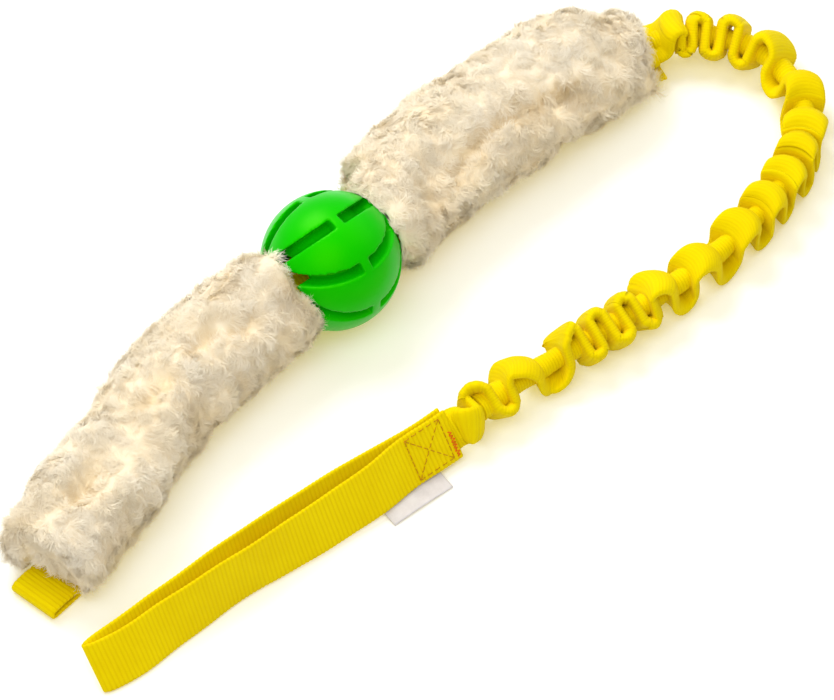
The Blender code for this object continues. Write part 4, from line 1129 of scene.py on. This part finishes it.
def make_bungee():
    """Tubular webbing gathered on its elastic: a soft flat tube that swings to and fro, and its inside.
    Its end, sewn into the hand loop, is a piece of its own."""
    rings, along, rib = sheath_rings()
    last = int(np.argmax(along >= BUNGEE_END_START))
    piece = gathered("bungee_webbing", rings[: last + 1], rib[: last + 1])
    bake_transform(piece)
    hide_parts("bungee_sheath")
    sewn_end = gathered("bungee_sewn_end", rings[last:], rib[last:])
    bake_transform(sewn_end)
    gathers, strand = make_core()
    free = through(BUNGEE_ROUTE, 0.001)
    free = at_distance(free, distance_along(free), np.linspace(0, BUNGEE_END_START, 60))


# Stage, light and camera


def make_stage():
    """A pale floor that shows white where it is lit and keeps a soft, warm shadow."""
    floor = mesh_from("floor", [(-6, -6, 0), (6, -6, 0), (6, 6, 0), (-6, 6, 0)], [0, 1, 2, 3], [4])
    surface = Surface("floor_look", (239, 237, 235), 0.9)
    surface.gloss(0.0)
    path = surface.tree.nodes.new("ShaderNodeLightPath").outputs
    seen = path["Is Camera Ray"]
    for ray in ("Is Glossy Ray", "Is Transmission Ray"):
        seen = surface.add("Math", 0, {0: seen, 1: path[ray]}, operation="ADD", use_clamp=True)
    surface.colour(surface.mix(seen, FLOOR_COLOUR, FLOOR_SEEN_COLOUR))
    glow = surface.add("Emission", 0, {"Color": FLOOR_GLOW, "Strength": seen})
    both = surface.add("AddShader", 0, {0: surface.shader.outputs[0], 1: glow})
    surface.set(surface.tree.nodes["Material Output"], {"Surface": both})
    floor.data.materials.append(surface.material)


def placed(data, place, target):
    """A lamp or the camera, put at a place and turned to its target."""
    holder = bpy.data.objects.new(data.name, data)
    holder.location = place
    holder.rotation_euler = (target - Vector(place)).to_track_quat("-Z", "Y").to_euler()
    bpy.context.scene.collection.objects.link(holder)
    return holder


def make_light():
    world = bpy.data.worlds.new("studio")
    bpy.context.scene.world = world
    world.use_nodes = True
    nodes, links = world.node_tree.nodes, world.node_tree.links
    background = nodes["Background"]
    path = nodes.new("ShaderNodeLightPath")
    strength = nodes.new("ShaderNodeMath")
    strength.operation = "MULTIPLY_ADD"
    strength.inputs[1].default_value = 1 - WORLD_STRENGTH
    strength.inputs[2].default_value = WORLD_STRENGTH
    links.new(path.outputs["Is Camera Ray"], strength.inputs[0])
    background.inputs["Color"].default_value = (1.0, 1.0, 1.0, 1.0)
    links.new(strength.outputs[0], background.inputs["Strength"])
    for name, place, size, power in LAMPS:
        lamp = bpy.data.lights.new(name, "AREA")
        lamp.size = size
        lamp.energy = power
        placed(lamp, place, LAMP_TARGET)


def make_camera():
    azimuth, elevation = math.radians(CAMERA_AZIMUTH_DEG), math.radians(CAMERA_ELEVATION_DEG)
    ahead = Vector((-math.sin(azimuth), math.cos(azimuth), 0))
    back = Vector((0, 0, math.sin(elevation))) - ahead * math.cos(elevation)
    place = CAMERA_TARGET + back * CAMERA_DISTANCE
    camera = bpy.data.cameras.new("camera")
    camera.sensor_width = SENSOR_WIDTH
    camera.lens = PIXELS_PER_METRE * CAMERA_DISTANCE * SENSOR_WIDTH / PHOTO_WIDTH
    bpy.context.scene.camera = placed(camera, place, CAMERA_TARGET)


def dress_cad_nodes():
    """Materials for the CAD nodes that no piece replaces."""
    for look, nodes in (
        (SUEDE, ("far_hide", "near_hide")),
        (PALE_THREAD, ("far_seam_stitches", "near_seam_stitches")),
        (OCHRE_THREAD, ("far_bar_tack", "near_bar_tack")),
    ):
        for node in nodes:
            for place in NODES[node].material_slots:
                place.material = look


make_camera()
make_stage()
make_light()
make_bungee()
make_ball()
far_route = through(STRAP_TO_FAR, 0.002)
near_route = through(STRAP_TO_NEAR, 0.002)
grow_wool("far_wool", "far_pile", "far_sleeve", far_route, SEED, -1, FAR_SHAPE)
grow_wool("near_wool", "near_pile", "near_sleeve", near_route, SEED + 100, 1, NEAR_SHAPE)
make_strap()
make_far_loop()
make_near_tab()
make_handle()
make_sewing()
make_label()
dress_cad_nodes()
bpy.context.scene.view_settings.view_transform = "Standard"
